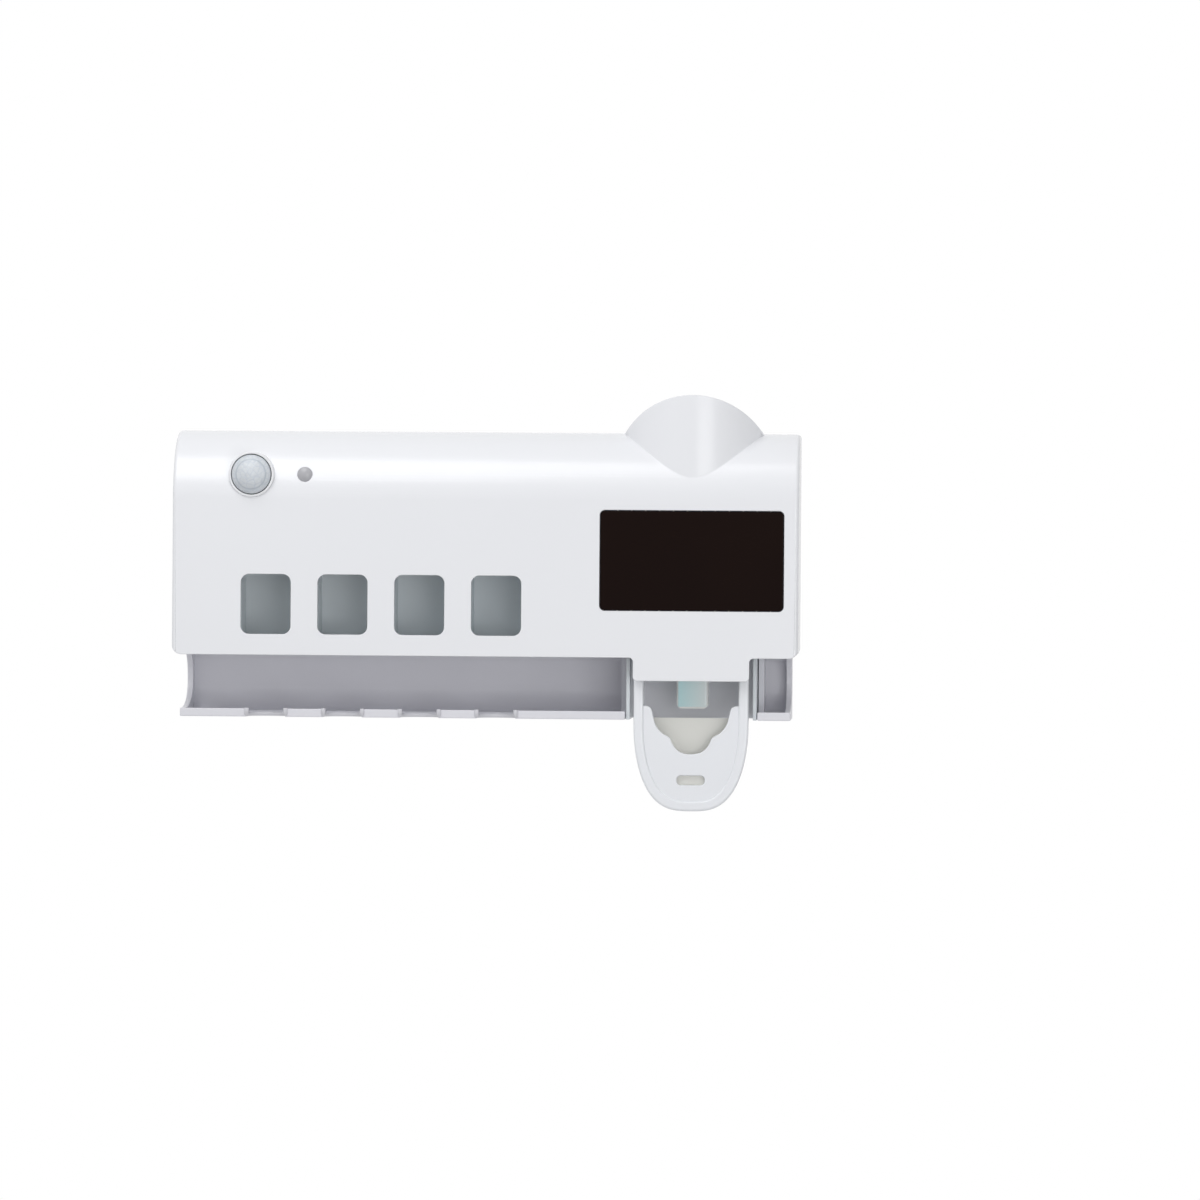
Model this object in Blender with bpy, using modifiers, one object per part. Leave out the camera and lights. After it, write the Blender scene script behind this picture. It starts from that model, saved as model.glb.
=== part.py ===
# UV toothbrush holder that hangs on a bathroom wall.
# X runs to the right as seen from the room, +Y runs into the wall, and Z is up. The wall is at Y = 0,
# and the origin is at the middle of the adhesive pad that sticks to it.

from math import asin, cos, degrees, pi, radians, sin, sqrt

import bmesh
import bpy
from mathutils import Matrix, Vector

mm = 0.001

# Fits
seat_gap = 0.3 * mm             # between two pieces that rest on each other
slide_gap = 0.4 * mm            # beside a piece that slides
overrun = 1.0 * mm              # how far a cutter runs past what it cuts
weld = 0.001 * mm               # points closer than this are one point
join_step = 0.2 * mm            # keeps the faces of joined shapes out of one plane

# Body
body_depth = 45.0 * mm          # from the wall to the front face
recess_height = 22.6 * mm       # from the cover's lower edge to the housing's
cover_wall = 2.2 * mm
cover_top_radius = 25.0 * mm
cover_corner_radius = 3.5 * mm
cover_edge_radius = 1.4 * mm

# Wall mounting
pad_width = 96.0 * mm
pad_height = 56.0 * mm
pad_thickness = 1.0 * mm
plate_width = 100.0 * mm
plate_height = 60.0 * mm
plate_thickness = 2.5 * mm
plate_corner_radius = 5.0 * mm
hook_spacing = 70.0 * mm
hook_height = 8.0 * mm
hook_stem_width = 6.0 * mm
hook_head_width = 12.0 * mm
hook_head_thickness = 2.0 * mm
hook_rise = 20.0 * mm           # above the plate's middle
lift_travel = 14.0 * mm         # how far the body lifts before the hooks come free

# Rear housing
housing_wall = 2.0 * mm
housing_side_gap = 0.5 * mm
housing_flange_depth = 10.0 * mm
ledge_thickness = 1.8 * mm
ledge_inset = 3.5 * mm          # underside of the ledge above the cover's lower edge
recess_upper_radius = 6.0 * mm
recess_lower_radius = 8.0 * mm
shelf_depth = 40.0 * mm         # from the wall to the lip's front
shelf_thickness = 2.0 * mm
lip_height = 3.0 * mm
lip_thickness = 1.6 * mm
side_wall_hollow = 29.0 * mm    # how far the side wall's front edge draws back
side_wall_power = 2.4

# Brush windows, chamber and the notches below them
brush_count = 4
brush_pitch = 28.0 * mm
first_brush_from_left = 34.2 * mm
window_width = 18.2 * mm
window_height = 21.8 * mm
window_corner_radius = 3.0 * mm
window_sill = 7.6 * mm          # above the cover's lower edge
notch_width = 13.8 * mm
notch_depth = 14.0 * mm
cell_width = 20.0 * mm
cell_wall = 1.4 * mm
chamber_margin = 4.0 * mm       # from the outer cells to the chamber's ends
chamber_height = 45.0 * mm
chamber_back = 12.0 * mm        # from the wall plane

# Solar window and cell
solar_height = 36.0 * mm
solar_corner_radius = 1.6 * mm
solar_sill = 17.3 * mm          # above the cover's lower edge
solar_to_top = 28.5 * mm
solar_from_right = 5.6 * mm
solar_window_thickness = 1.9 * mm
solar_cell_thickness = 1.4 * mm
solar_cell_margin = 2.0 * mm

# Motion sensor and indicator
sensor_from_left = 28.7 * mm
indicator_from_left = 48.1 * mm
sensor_drop = 16.1 * mm         # below the top
bezel_radius = 8.3 * mm
bezel_wall = 0.9 * mm
bezel_proud = 0.6 * mm
lens_wall = 0.8 * mm
lens_rise = 3.6 * mm
lens_skirt = 3.0 * mm
sensor_can_radius = 4.6 * mm
sensor_can_height = 4.4 * mm
sensor_can_rim = 0.8 * mm
sensor_can_rim_height = 0.6 * mm
indicator_radius = 2.75 * mm
indicator_rise = 1.1 * mm
sensor_board_gap = 0.4 * mm     # from its upper edge to the cover's rounded top
sensor_board_margin = 1.7 * mm
sensor_board_lower = 8.0 * mm   # below the sensor's axis
sensor_board_upper = 7.6 * mm
sensor_post_radius = 2.0 * mm
sensor_post_drop = 5.4 * mm

# Boards, lamps and battery
board_thickness = 1.6 * mm
main_board_width = 52.5 * mm
main_board_height = 22.5 * mm
main_board_from_left = 5.5 * mm
main_board_drop = 5.2 * mm      # top edge below the body's top
main_board_standoff = 2.0 * mm
main_board_margin = 4.2 * mm    # from its edges to its standoffs
standoff_radius = 2.5 * mm
uv_board_height = 12.0 * mm
uv_board_thickness = 1.2 * mm
uv_board_end = 1.8 * mm         # short of the chamber's ends
uv_lamp_radius = 2.5 * mm
uv_lamp_length = 5.0 * mm
uv_lamp_rise = 8.3 * mm         # above the windows' upper edge
battery_radius = 9.1 * mm
battery_length = 65.2 * mm
battery_gap = 6.0 * mm          # from the main board
battery_drop = 16.2 * mm
battery_neck_radius = 3.0 * mm
battery_neck_length = 1.2 * mm
tape_length = 43.4 * mm
tape_width = 14.0 * mm
tape_thickness = 0.5 * mm
socket_width = 7.6 * mm
socket_height = 2.7 * mm
socket_depth = 6.0 * mm
socket_wall = 0.4 * mm
socket_inset = 0.6 * mm         # behind the cover's end face
lead_radius = 0.7 * mm
lead_run = 7.5 * mm             # the long lead's run in front of the centre of the cover's rounded top
lead_sag = 2.0 * mm
solar_lead_share = 0.8          # where the solar lead leaves its cell, as a share of the window's height

# Screws and their posts
post_radius = 3.0 * mm
post_from_end = 10.0 * mm
post_from_cell = 5.0 * mm
post_low = 32.2 * mm            # above the housing's lower edge
post_mid = 66.2 * mm
post_drop = 12.2 * mm           # below the body's top
screw_radius = 1.3 * mm
screw_head_radius = 2.6 * mm
screw_head_height = 0.9 * mm
screw_length = 10.0 * mm
small_screw_radius = 0.8 * mm
small_screw_head_radius = 1.7 * mm
small_screw_head_height = 0.8 * mm
small_screw_length = 4.0 * mm
screw_gap = 0.3 * mm
drive_radius_share = 0.55       # of the head's radius
drive_depth_share = 0.6         # of the head's height

# Dispenser
dispenser_from_brush = 71.0 * mm
bay_to_end_wall = 8.0 * mm
apron_margin = 0.25 * mm        # wider than the lever on each side
apron_drop = 8.4 * mm
apron_fillet = 1.5 * mm
collar_radius = 26.7 * mm
collar_axis_depth = 16.7 * mm   # from the wall plane
collar_rise = 13.8 * mm         # above the body's top
collar_arch_radius = 30.0 * mm
collar_foot = 22.0 * mm         # below the body's top
collar_back = 7.5 * mm          # rear of the opening, from the wall plane
cassette_width = 47.4 * mm      # over the side fins
cassette_fin = 1.3 * mm
cassette_depth = 38.0 * mm      # front of the fins, from the wall plane
cassette_top = 66.2 * mm        # above the housing's lower edge
cassette_plate = 1.6 * mm
cassette_back_height = 44.0 * mm
deck_depth = 36.0 * mm
neck_radius = 6.6 * mm
seal_radius = 9.0 * mm
seal_height = 7.0 * mm
piston_axis_depth = 22.0 * mm
piston_flange_radius = 10.5 * mm
piston_flange = 2.0 * mm
piston_stem_radius = 6.0 * mm
piston_stem_length = 13.4 * mm
piston_bore_radius = 2.2 * mm
piston_ear_radius = 1.5 * mm
piston_ear_short = 0.6 * mm     # of the lever's outer face
bellows_radius = 9.5 * mm
bellows_root_radius = 7.4 * mm
bellows_wall = 0.9 * mm
bellows_folds = 5
nozzle_width = 11.7 * mm
nozzle_depth = 10.0 * mm
nozzle_bottom = 3.9 * mm        # above the housing's lower edge
nozzle_corner_radius = 2.0 * mm

# Push lever
lever_side_gap = 1.5 * mm       # between the lever and the cassette's fins
lever_arm = 3.6 * mm
lever_front = 41.5 * mm         # from the wall plane
lever_flange_depth = 9.0 * mm
lever_bottom = 33.1 * mm        # below the housing's lower edge
lever_straight = 1.5 * mm       # the sides stay straight to this far below that edge
lever_panel = 1.8 * mm
lever_panel_inset = 0.8 * mm
lever_back = 1.4 * mm           # the wall that closes the lever's back, which the brush head pushes
lever_back_rise = 0.2 * mm      # above the housing's lower edge
lever_hub_radius = 5.5 * mm
lever_rim_top = 8.0 * mm        # above the housing's lower edge, where the rim turns back to the hub
lever_front_top = 18.0 * mm     # above the same edge, where the front slopes back to the hub
hinge_depth = 30.0 * mm         # from the wall plane
hinge_height = 30.2 * mm        # above the housing's lower edge
hinge_stub_radius = 2.2 * mm
finger_reach = 11.0 * mm
finger_thickness = 3.2 * mm
lever_notch_top = 5.2 * mm      # above the housing's lower edge
lever_notch_depth = 17.6 * mm
lever_shoulder = 4.0 * mm       # from the lever's side to its notch
lever_slot_width = 10.2 * mm
lever_slot_height = 3.5 * mm
lever_slot_radius = 1.6 * mm
lever_slot_drop = 21.9 * mm     # below the housing's lower edge

# Outlines as shares of the sizes that they follow
lever_notch_shares = [          # half width, depth
    (1.0, 0.0), (0.86, 0.06), (0.82, 0.2), (0.77, 0.38), (0.67, 0.52), (0.58, 0.59),
    (0.46, 0.66), (0.4, 0.78), (0.33, 0.88), (0.24, 0.95), (0.12, 0.99),
]

# Sizes that follow what they hold
lever_width = cassette_width - 2 * (cassette_fin + lever_side_gap)
apron_width = lever_width + 2 * apron_margin
piston_ear_span = lever_width - 2 * piston_ear_short
bay_half = cassette_width / 2 + slide_gap
end_thickness = cover_wall + housing_side_gap + housing_wall
dispenser_from_right = bay_half + housing_wall + bay_to_end_wall + end_thickness
solar_width = 2 * (dispenser_from_right - solar_from_right)
body_width = (
    first_brush_from_left
    + (brush_count - 1) * brush_pitch
    + dispenser_from_brush
    + dispenser_from_right
)
cover_height = solar_sill + solar_height + solar_to_top
body_height = cover_height + recess_height

# Places worked out from the sizes
half_width = body_width / 2
top = body_height / 2
bottom = -body_height / 2
cover_bottom = top - cover_height
front = -body_depth
cover_inside = front + cover_wall
plate_back = -(pad_thickness + seat_gap)
plate_front = plate_back - plate_thickness
housing_back = plate_front - seat_gap
housing_inside = housing_back - housing_wall
housing_half = half_width - cover_wall - housing_side_gap
ledge_under = cover_bottom + ledge_inset
ledge_top = ledge_under + ledge_thickness
ledge_front = cover_inside + slide_gap
brush_places = [-half_width + first_brush_from_left + index * brush_pitch for index in range(brush_count)]
window_low = cover_bottom + window_sill
window_high = window_low + window_height
dispenser_x = half_width - dispenser_from_right
sensor_x = -half_width + sensor_from_left
indicator_x = -half_width + indicator_from_left
sensor_z = top - sensor_drop
top_centre = (front + cover_top_radius, top - cover_top_radius)
sensor_board_rise = sensor_z + sensor_board_upper - top_centre[1]
sensor_board_reach = sqrt((cover_top_radius - cover_wall) ** 2 - sensor_board_rise ** 2)
sensor_board_depth = sensor_board_reach - top_centre[0] - sensor_board_gap
battery_left = -half_width + main_board_from_left + main_board_width + battery_gap
hinge_y = -hinge_depth
hinge_z = bottom + hinge_height
piston_y = -piston_axis_depth
deck_top = bottom + cassette_top
deck_under = deck_top - cassette_plate
guide_top = hinge_z + lever_hub_radius + 2 * seat_gap + cassette_plate
post_middle = dispenser_x - solar_width / 2 - solar_cell_margin - post_from_cell
post_right = half_width - end_thickness - bay_to_end_wall / 2


def wipe():
    for obj in list(bpy.data.objects):
        bpy.data.objects.remove(obj)


def collection(name):
    made = bpy.data.collections.new(name)
    bpy.context.scene.collection.children.link(made)
    return made


def move_to(obj, target):
    for old in list(obj.users_collection):
        old.objects.unlink(obj)
    target.objects.link(obj)


def material(name, colour, roughness, metallic=0.0, alpha=1.0):
    made = bpy.data.materials.new(name)
    made.use_nodes = True
    shader = made.node_tree.nodes["Principled BSDF"]
    shader.inputs["Base Color"].default_value = (*colour, 1.0)
    shader.inputs["Roughness"].default_value = roughness
    shader.inputs["Metallic"].default_value = metallic
    shader.inputs["Alpha"].default_value = alpha
    return made


def close_mesh(mesh):
    shape = bmesh.new()
    shape.from_mesh(mesh)
    bmesh.ops.remove_doubles(shape, verts=shape.verts, dist=weld)
    bmesh.ops.recalc_face_normals(shape, faces=shape.faces)
    shape.to_mesh(mesh)
    shape.free()


# Puts the modifiers' result into the object's own mesh, with its place in the mesh too.
def settle(obj):
    shape = obj.evaluated_get(bpy.context.evaluated_depsgraph_get())
    mesh = bpy.data.meshes.new_from_object(shape)
    mesh.transform(shape.matrix_world)
    obj.modifiers.clear()
    obj.data = mesh
    obj.matrix_world = Matrix.Identity(4)
    return obj


def shade(obj):
    obj.data.shade_smooth()
    obj.data.set_sharp_from_angle(angle=radians(35))


def block(name, low, high):
    low, high = Vector(low), Vector(high)
    bpy.ops.mesh.primitive_cube_add(size=1, location=(low + high) / 2)
    obj = bpy.context.object
    obj.name = name
    obj.scale = high - low
    bpy.ops.object.transform_apply(location=False, rotation=False, scale=True)
    return obj


def rod(name, radius, foot, head, sides=24):
    foot, head = Vector(foot), Vector(head)
    bpy.ops.mesh.primitive_cylinder_add(
        vertices=sides, radius=radius, depth=(head - foot).length, location=(foot + head) / 2
    )
    obj = bpy.context.object
    obj.name = name
    obj.rotation_euler = (head - foot).to_track_quat("Z", "Y").to_euler()
    return obj


def arc(centre_u, centre_v, radius, start, end, steps):
    angles = [radians(start + (end - start) * step / steps) for step in range(steps + 1)]
    return [(centre_u + radius * cos(angle), centre_v + radius * sin(angle)) for angle in angles]


def rounded_rectangle(centre_u, centre_v, width, height, radius, steps=4):
    side_u, side_v = width / 2 - radius, height / 2 - radius
    corners = [(1, 1, 0), (-1, 1, 90), (-1, -1, 180), (1, -1, 270)]
    outline = []
    for sign_u, sign_v, start in corners:
        place_u, place_v = centre_u + sign_u * side_u, centre_v + sign_v * side_v
        outline += arc(place_u, place_v, radius, start, start + 90, steps)
    return outline


# A flat outline made solid from low to high along an axis. Its points are (Y, Z) along X,
# (X, Z) along Y and (X, Y) along Z.
def outline_solid(name, outline, axis, low, high):
    curve = bpy.data.curves.new(name, "CURVE")
    curve.dimensions = "2D"
    curve.fill_mode = "BOTH"
    curve.extrude = (high - low) / 2
    spline = curve.splines.new("POLY")
    spline.points.add(len(outline) - 1)
    for point, (place_u, place_v) in zip(spline.points, outline):
        point.co = (place_u, place_v, 0, 1)
    spline.use_cyclic_u = True
    flat = bpy.data.objects.new(name, curve)
    bpy.context.scene.collection.objects.link(flat)
    columns = {
        "X": (Vector((0, 1, 0)), Vector((0, 0, 1)), Vector((1, 0, 0))),
        "Y": (Vector((1, 0, 0)), Vector((0, 0, 1)), Vector((0, -1, 0))),
        "Z": (Vector((1, 0, 0)), Vector((0, 1, 0)), Vector((0, 0, 1))),
    }[axis]
    turn = Matrix(columns).transposed().to_4x4()
    middle = (low + high) / 2
    shift = Vector([middle if letter == axis else 0 for letter in "XYZ"])
    flat.matrix_world = Matrix.Translation(shift) @ turn
    bpy.context.view_layer.update()
    shape = flat.evaluated_get(bpy.context.evaluated_depsgraph_get())
    mesh = bpy.data.meshes.new_from_object(shape)
    mesh.transform(flat.matrix_world)
    bpy.data.objects.remove(flat)
    close_mesh(mesh)
    obj = bpy.data.objects.new(name, mesh)
    bpy.context.scene.collection.objects.link(obj)
    return obj


# A profile of (radius, height) points turned about an axis that starts at foot.
def turned(name, profile, foot, direction, sides=24, closed=False):
    mesh = bpy.data.meshes.new(name)
    edges = [(index, index + 1) for index in range(len(profile) - 1)]
    if closed:
        edges.append((len(profile) - 1, 0))
    mesh.from_pydata([(radius, 0, height) for radius, height in profile], edges, [])
    obj = bpy.data.objects.new(name, mesh)
    bpy.context.scene.collection.objects.link(obj)
    turn = obj.modifiers.new("turn", "SCREW")
    turn.steps = turn.render_steps = sides
    turn.use_merge_vertices = True
    turn.merge_threshold = weld
    obj.location = foot
    obj.rotation_euler = Vector(direction).to_track_quat("Z", "Y").to_euler()
    bpy.context.view_layer.update()
    settle(obj)
    close_mesh(obj.data)
    return obj


def boolean(obj, tools, operation):
    for tool in tools:
        step = obj.modifiers.new(tool.name, "BOOLEAN")
        step.operation = operation
        step.solver = "EXACT"
        step.object = tool
        move_to(tool, cutters)
        tool.hide_render = True
        tool.display_type = "WIRE"
    return settle(obj)


def cut(obj, *tools):
    return boolean(obj, tools, "DIFFERENCE")


def join(obj, *tools):
    return boolean(obj, tools, "UNION")


def keep_common(obj, *tools):
    return boolean(obj, tools, "INTERSECT")


def bevel(obj, width, segments=2, angle=40):
    step = obj.modifiers.new("edges", "BEVEL")
    step.width = width
    step.segments = segments
    step.limit_method = "ANGLE"
    step.angle_limit = radians(angle)
    return settle(obj)


def finish(obj, look):
    settle(obj)
    shade(obj)
    obj.data.materials.clear()
    obj.data.materials.append(looks[look])
    move_to(obj, parts)
    return obj


# An empty on a joint's axis, which carries the pieces that move there.
def pivot(name, place):
    empty = bpy.data.objects.new(name, None)
    empty.location = place
    parts.objects.link(empty)
    return empty


def hang(obj, carrier):
    obj.data.transform(Matrix.Translation(-carrier.location))
    obj.parent = carrier


# Where the cover's screws go, as (X, Z).
def post_places():
    return [
        (-half_width + post_from_end, bottom + post_mid),
        (-half_width + post_from_end, bottom + post_low),
        (post_middle, top - post_drop),
        (post_middle, bottom + post_low),
        (post_right, top - post_drop),
        (post_right, bottom + post_low),
    ]


def sensor_post_places():
    drop = sensor_z - sensor_post_drop
    between = (sensor_x + bezel_radius + indicator_x - indicator_radius) / 2
    return [(between, drop), (indicator_x + indicator_radius + 2 * sensor_post_radius, drop)]


# Side outline of the cover, drawn in from its outer face by inset.
def cover_profile(inset, rear, low):
    centre_y, centre_z = top_centre
    radius = cover_top_radius - inset
    face = front + inset
    return [(rear, top - inset)] + arc(centre_y, centre_z, radius, 90, 180, 12) + [(face, low), (rear, low)]


def cover_corner_cutter(side):
    edge = side * half_width
    inner = edge - side * cover_corner_radius
    low = cover_bottom + cover_corner_radius
    bend = arc(inner, low, cover_corner_radius, 0, -90, 5)
    if side < 0:
        bend = arc(inner, low, cover_corner_radius, 180, 270, 5)
    far = edge + side * overrun
    outline = [(far, cover_bottom - overrun), (far, low)] + bend + [(inner, cover_bottom - overrun)]
    return outline_solid("corner_cut", outline, "Y", front - overrun, overrun)


# The half-round guard in front of the tube, with its arched upper edge.
def collar():
    half_disc = arc(dispenser_x, -collar_axis_depth, collar_radius, 180, 360, 28)
    guard = outline_solid("collar", half_disc, "Z", top - collar_foot, top + collar_rise + overrun)
    arch_z = top + collar_rise - collar_arch_radius
    arch = rod(
        "collar_arch",
        collar_arch_radius,
        (dispenser_x, front - overrun, arch_z),
        (dispenser_x, overrun, arch_z),
        64,
    )
    return keep_common(guard, arch)


def tube_opening():
    radius = collar_radius - cover_wall
    back = -collar_back
    lean = degrees(asin((back + collar_axis_depth) / radius))
    outline = arc(dispenser_x, -collar_axis_depth, radius, 180 - lean, 360 + lean, 32)
    low = top - collar_foot - overrun
    return outline_solid("tube_opening", outline, "Z", low, top + collar_rise + overrun)


def apron():
    half = apron_width / 2
    low = cover_bottom - apron_drop
    high = cover_bottom + cover_edge_radius
    left, right = dispenser_x - half, dispenser_x + half
    outline = [(left, high), (left - apron_fillet, high)]
    outline += arc(left - apron_fillet, cover_bottom - apron_fillet, apron_fillet, 90, 0, 4)
    outline += arc(left + apron_fillet, low + apron_fillet, apron_fillet, 180, 270, 4)
    outline += arc(right - apron_fillet, low + apron_fillet, apron_fillet, 270, 360, 4)
    outline += arc(right + apron_fillet, cover_bottom - apron_fillet, apron_fillet, 180, 90, 4)
    outline += [(right + apron_fillet, high), (right, high)]
    return outline_solid("apron", outline, "Y", front, cover_inside)


# Hollow of the cover, with the screw posts left standing in it.
def cover_hollow():
    profile = cover_profile(cover_wall, overrun, cover_bottom - overrun)
    hollow = outline_solid("hollow", profile, "X", -half_width + cover_wall, half_width - cover_wall)
    post_end = housing_inside - seat_gap
    for place_x, place_z in post_places():
        cut(hollow, rod("post", post_radius, (place_x, front, place_z), (place_x, post_end, place_z), 16))
    board_rest = -(sensor_board_depth + seat_gap)
    for place_x, place_z in sensor_post_places():
        ends = (place_x, front, place_z), (place_x, board_rest, place_z)
        cut(hollow, rod("sensor_post", sensor_post_radius, *ends, 12))
    return hollow


def front_cover():
    profile = cover_profile(0, overrun, cover_bottom)
    cover = outline_solid("front_cover", profile, "X", -half_width, half_width)
    bevel(cover, cover_edge_radius)
    cut(cover, cover_corner_cutter(-1), cover_corner_cutter(1), cover_hollow())
    rear = (half_width + overrun, 2 * overrun, top + overrun)
    cut(cover, block("rear_cut", (-rear[0], housing_back, cover_bottom - overrun), rear))
    join(cover, apron(), collar())
    cut(cover, tube_opening())
    through = (front - overrun, cover_inside + overrun)
    for place in brush_places:
        middle = (window_low + window_high) / 2
        shape = rounded_rectangle(place, middle, window_width, window_height, window_corner_radius)
        cut(cover, outline_solid("window", shape, "Y", *through))
    solar_z = cover_bottom + solar_sill + solar_height / 2
    width, height = solar_width + 2 * seat_gap, solar_height + 2 * seat_gap
    shape = rounded_rectangle(dispenser_x, solar_z, width, height, solar_corner_radius + seat_gap)
    cut(cover, outline_solid("solar_opening", shape, "Y", *through))
    board_rest = -(sensor_board_depth + seat_gap)
    holes = [(sensor_x, bezel_radius + seat_gap), (indicator_x, indicator_radius + seat_gap)]
    for place, radius in holes:
        cut(cover, rod("hole", radius, (place, front - overrun, sensor_z), (place, board_rest, sensor_z), 32))
    for place_x, place_z in post_places():
        foot = (place_x, housing_inside + overrun, place_z)
        head = (place_x, housing_back - screw_length - overrun, place_z)
        cut(cover, rod("pilot", screw_radius + screw_gap, foot, head, 12))
    for place_x, place_z in sensor_post_places():
        foot = (place_x, board_rest + overrun, place_z)
        head = (place_x, board_rest - small_screw_length, place_z)
        cut(cover, rod("small_pilot", small_screw_radius + screw_gap, foot, head, 10))
    cut(cover, socket_opening())
    return finish(cover, "white_shell")


def socket_place():
    board_front = housing_inside - main_board_standoff - seat_gap - board_thickness
    middle = top - main_board_drop - main_board_height / 2
    return board_front - seat_gap, middle


def socket_opening():
    near, middle = socket_place()
    half = socket_width / 2 + slide_gap
    low = (-half_width - overrun, near - socket_height - slide_gap, middle - half)
    high = (-housing_half + housing_wall + overrun, near + slide_gap, middle + half)
    return block("socket_opening", low, high)


# Side outline of the rear housing: back, shelf with its lip, rounded recess, ledge and top flange.
def housing_profile():
    shelf_top = bottom + shelf_thickness
    lip_front = -shelf_depth
    lip_back = lip_front + lip_thickness
    lower_y = housing_inside - recess_lower_radius
    upper_y = housing_inside - recess_upper_radius
    flange_top = top - cover_wall - seat_gap
    flange_front = housing_back - housing_flange_depth
    outline = [(housing_back, bottom), (lip_front, bottom), (lip_front, bottom + lip_height)]
    outline += [(lip_back, bottom + lip_height), (lip_back, shelf_top)]
    outline += arc(lower_y, shelf_top + recess_lower_radius, recess_lower_radius, 270, 360, 6)
    outline += arc(upper_y, ledge_under - recess_upper_radius, recess_upper_radius, 0, 90, 5)
    outline += [(ledge_front, ledge_under), (ledge_front, ledge_top), (housing_inside, ledge_top)]
    outline += [(housing_inside, flange_top - housing_wall), (flange_front, flange_top - housing_wall)]
    outline += [(flange_front, flange_top), (housing_back, flange_top)]
    return outline


# An end wall, whose front edge draws back in a hollow curve below the cover.
def end_wall(side):
    lip_top = bottom + lip_height + join_step
    middle = (lip_top + ledge_under) / 2
    half = (ledge_under - lip_top) / 2
    flange_top = top - cover_wall - seat_gap - join_step
    flange_front = housing_back - housing_flange_depth - join_step
    rear, low = housing_back + join_step, bottom - join_step
    lip_front, ledge_edge = -shelf_depth - join_step, ledge_front - join_step / 2
    outline = [(rear, low), (lip_front, low)]
    steps = 14
    for step in range(steps + 1):
        share = -cos(pi * step / steps)
        depth = (1 - abs(share) ** side_wall_power) ** (1 / side_wall_power)
        edge = lip_front + (ledge_edge - lip_front) * (share + 1) / 2
        outline.append((edge + side_wall_hollow * depth, middle + half * share))
    outline += [(ledge_edge, ledge_top + join_step), (flange_front, ledge_top + join_step)]
    outline += [(flange_front, flange_top), (rear, flange_top)]
    inner, outer = side * (housing_half - housing_wall), side * housing_half
    return outline_solid("end_wall", outline, "X", min(inner, outer), max(inner, outer))


def keyhole(side):
    place = side * hook_spacing / 2
    height = hook_height / 2 + slide_gap
    slot, wide = hook_stem_width / 2 + slide_gap, hook_head_width / 2 + slide_gap
    near, far = housing_inside - overrun, housing_back + overrun
    entry = hook_rise - lift_travel
    narrow = block("slot", (place - slot, near, entry), (place + slot, far, hook_rise + height))
    entrance = block("entry", (place - wide, near, entry - height), (place + wide, far, entry + height))
    return narrow, entrance


def brush_notch(place):
    half = notch_width / 2
    centre_y = -shelf_depth + notch_depth - half
    outline = [(place - half, -shelf_depth - overrun), (place + half, -shelf_depth - overrun)]
    outline += arc(place, centre_y, half, 0, 180, 8)
    return outline_solid("notch", outline, "Z", bottom - overrun, bottom + lip_height + overrun)


def main_board_corners():
    low_x = -half_width + main_board_from_left
    high_z = top - main_board_drop
    return low_x, low_x + main_board_width, high_z - main_board_height, high_z


def main_standoff_places():
    low_x, high_x, low_z, high_z = main_board_corners()
    left, right = low_x + main_board_margin, high_x - main_board_margin
    lower, upper = low_z + main_board_margin, high_z - main_board_margin
    return [(left, upper), (right, lower), (left, lower), (right, upper)]


def uv_board_front():
    return -chamber_back + seat_gap


def uv_board_middle():
    return window_high + uv_lamp_rise


def uv_standoff_places():
    return [(place + brush_pitch / 2, uv_board_middle()) for place in (brush_places[0], brush_places[-2])]


def rear_housing():
    inner = housing_half - housing_wall / 2
    housing = outline_solid("rear_housing", housing_profile(), "X", -inner, inner)
    join(housing, end_wall(-1), end_wall(1))
    root = housing_back - housing_wall / 2
    for side in (-1, 1):
        inside = dispenser_x + side * (bay_half - overrun)
        outside = dispenser_x + side * (bay_half + housing_wall)
        low = (min(inside, outside), -piston_axis_depth, bottom + join_step)
        join(housing, block("bay_rail", low, (max(inside, outside), root, deck_top)))
    board_rest = housing_inside - main_board_standoff
    for place_x, place_z in main_standoff_places():
        ends = (place_x, root, place_z), (place_x, board_rest, place_z)
        join(housing, rod("standoff", standoff_radius, *ends, 12))
    uv_rest = uv_board_front() + uv_board_thickness + seat_gap
    for place_x, place_z in uv_standoff_places():
        ends = (place_x, root, place_z), (place_x, uv_rest, place_z)
        join(housing, rod("uv_standoff", standoff_radius, *ends, 12))
    bay_low = (dispenser_x - bay_half, front, bottom - overrun)
    cut(housing, block("bay", bay_low, (dispenser_x + bay_half, housing_inside, deck_top + overrun)))
    flange_under = top - cover_wall - seat_gap - housing_wall
    tube_low = (dispenser_x - collar_radius, front, flange_under - overrun)
    cut(housing, block("tube_space", tube_low, (dispenser_x + collar_radius, -collar_back, top)))
    cut(housing, *keyhole(-1), *keyhole(1))
    for place in brush_places:
        cut(housing, brush_notch(place))
    head_floor = housing_back - screw_head_height - screw_gap
    for place_x, place_z in post_places():
        ends = (place_x, 0, place_z), (place_x, head_floor, place_z)
        cut(housing, rod("head_seat", screw_head_radius + screw_gap, *ends, 16))
        ends = (place_x, 0, place_z), (place_x, housing_inside - overrun, place_z)
        cut(housing, rod("screw_hole", screw_radius + screw_gap, *ends, 12))
    pilots = [(*place, board_rest) for place in main_standoff_places()[:2]]
    pilots += [(*place, uv_rest) for place in uv_standoff_places()]
    for place_x, place_z, rest in pilots:
        ends = (place_x, rest - overrun, place_z), (place_x, housing_back - housing_wall / 2, place_z)
        cut(housing, rod("small_pilot", small_screw_radius + screw_gap, *ends, 10))
    cut(housing, socket_opening())
    return finish(housing, "grey_shell")


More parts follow.
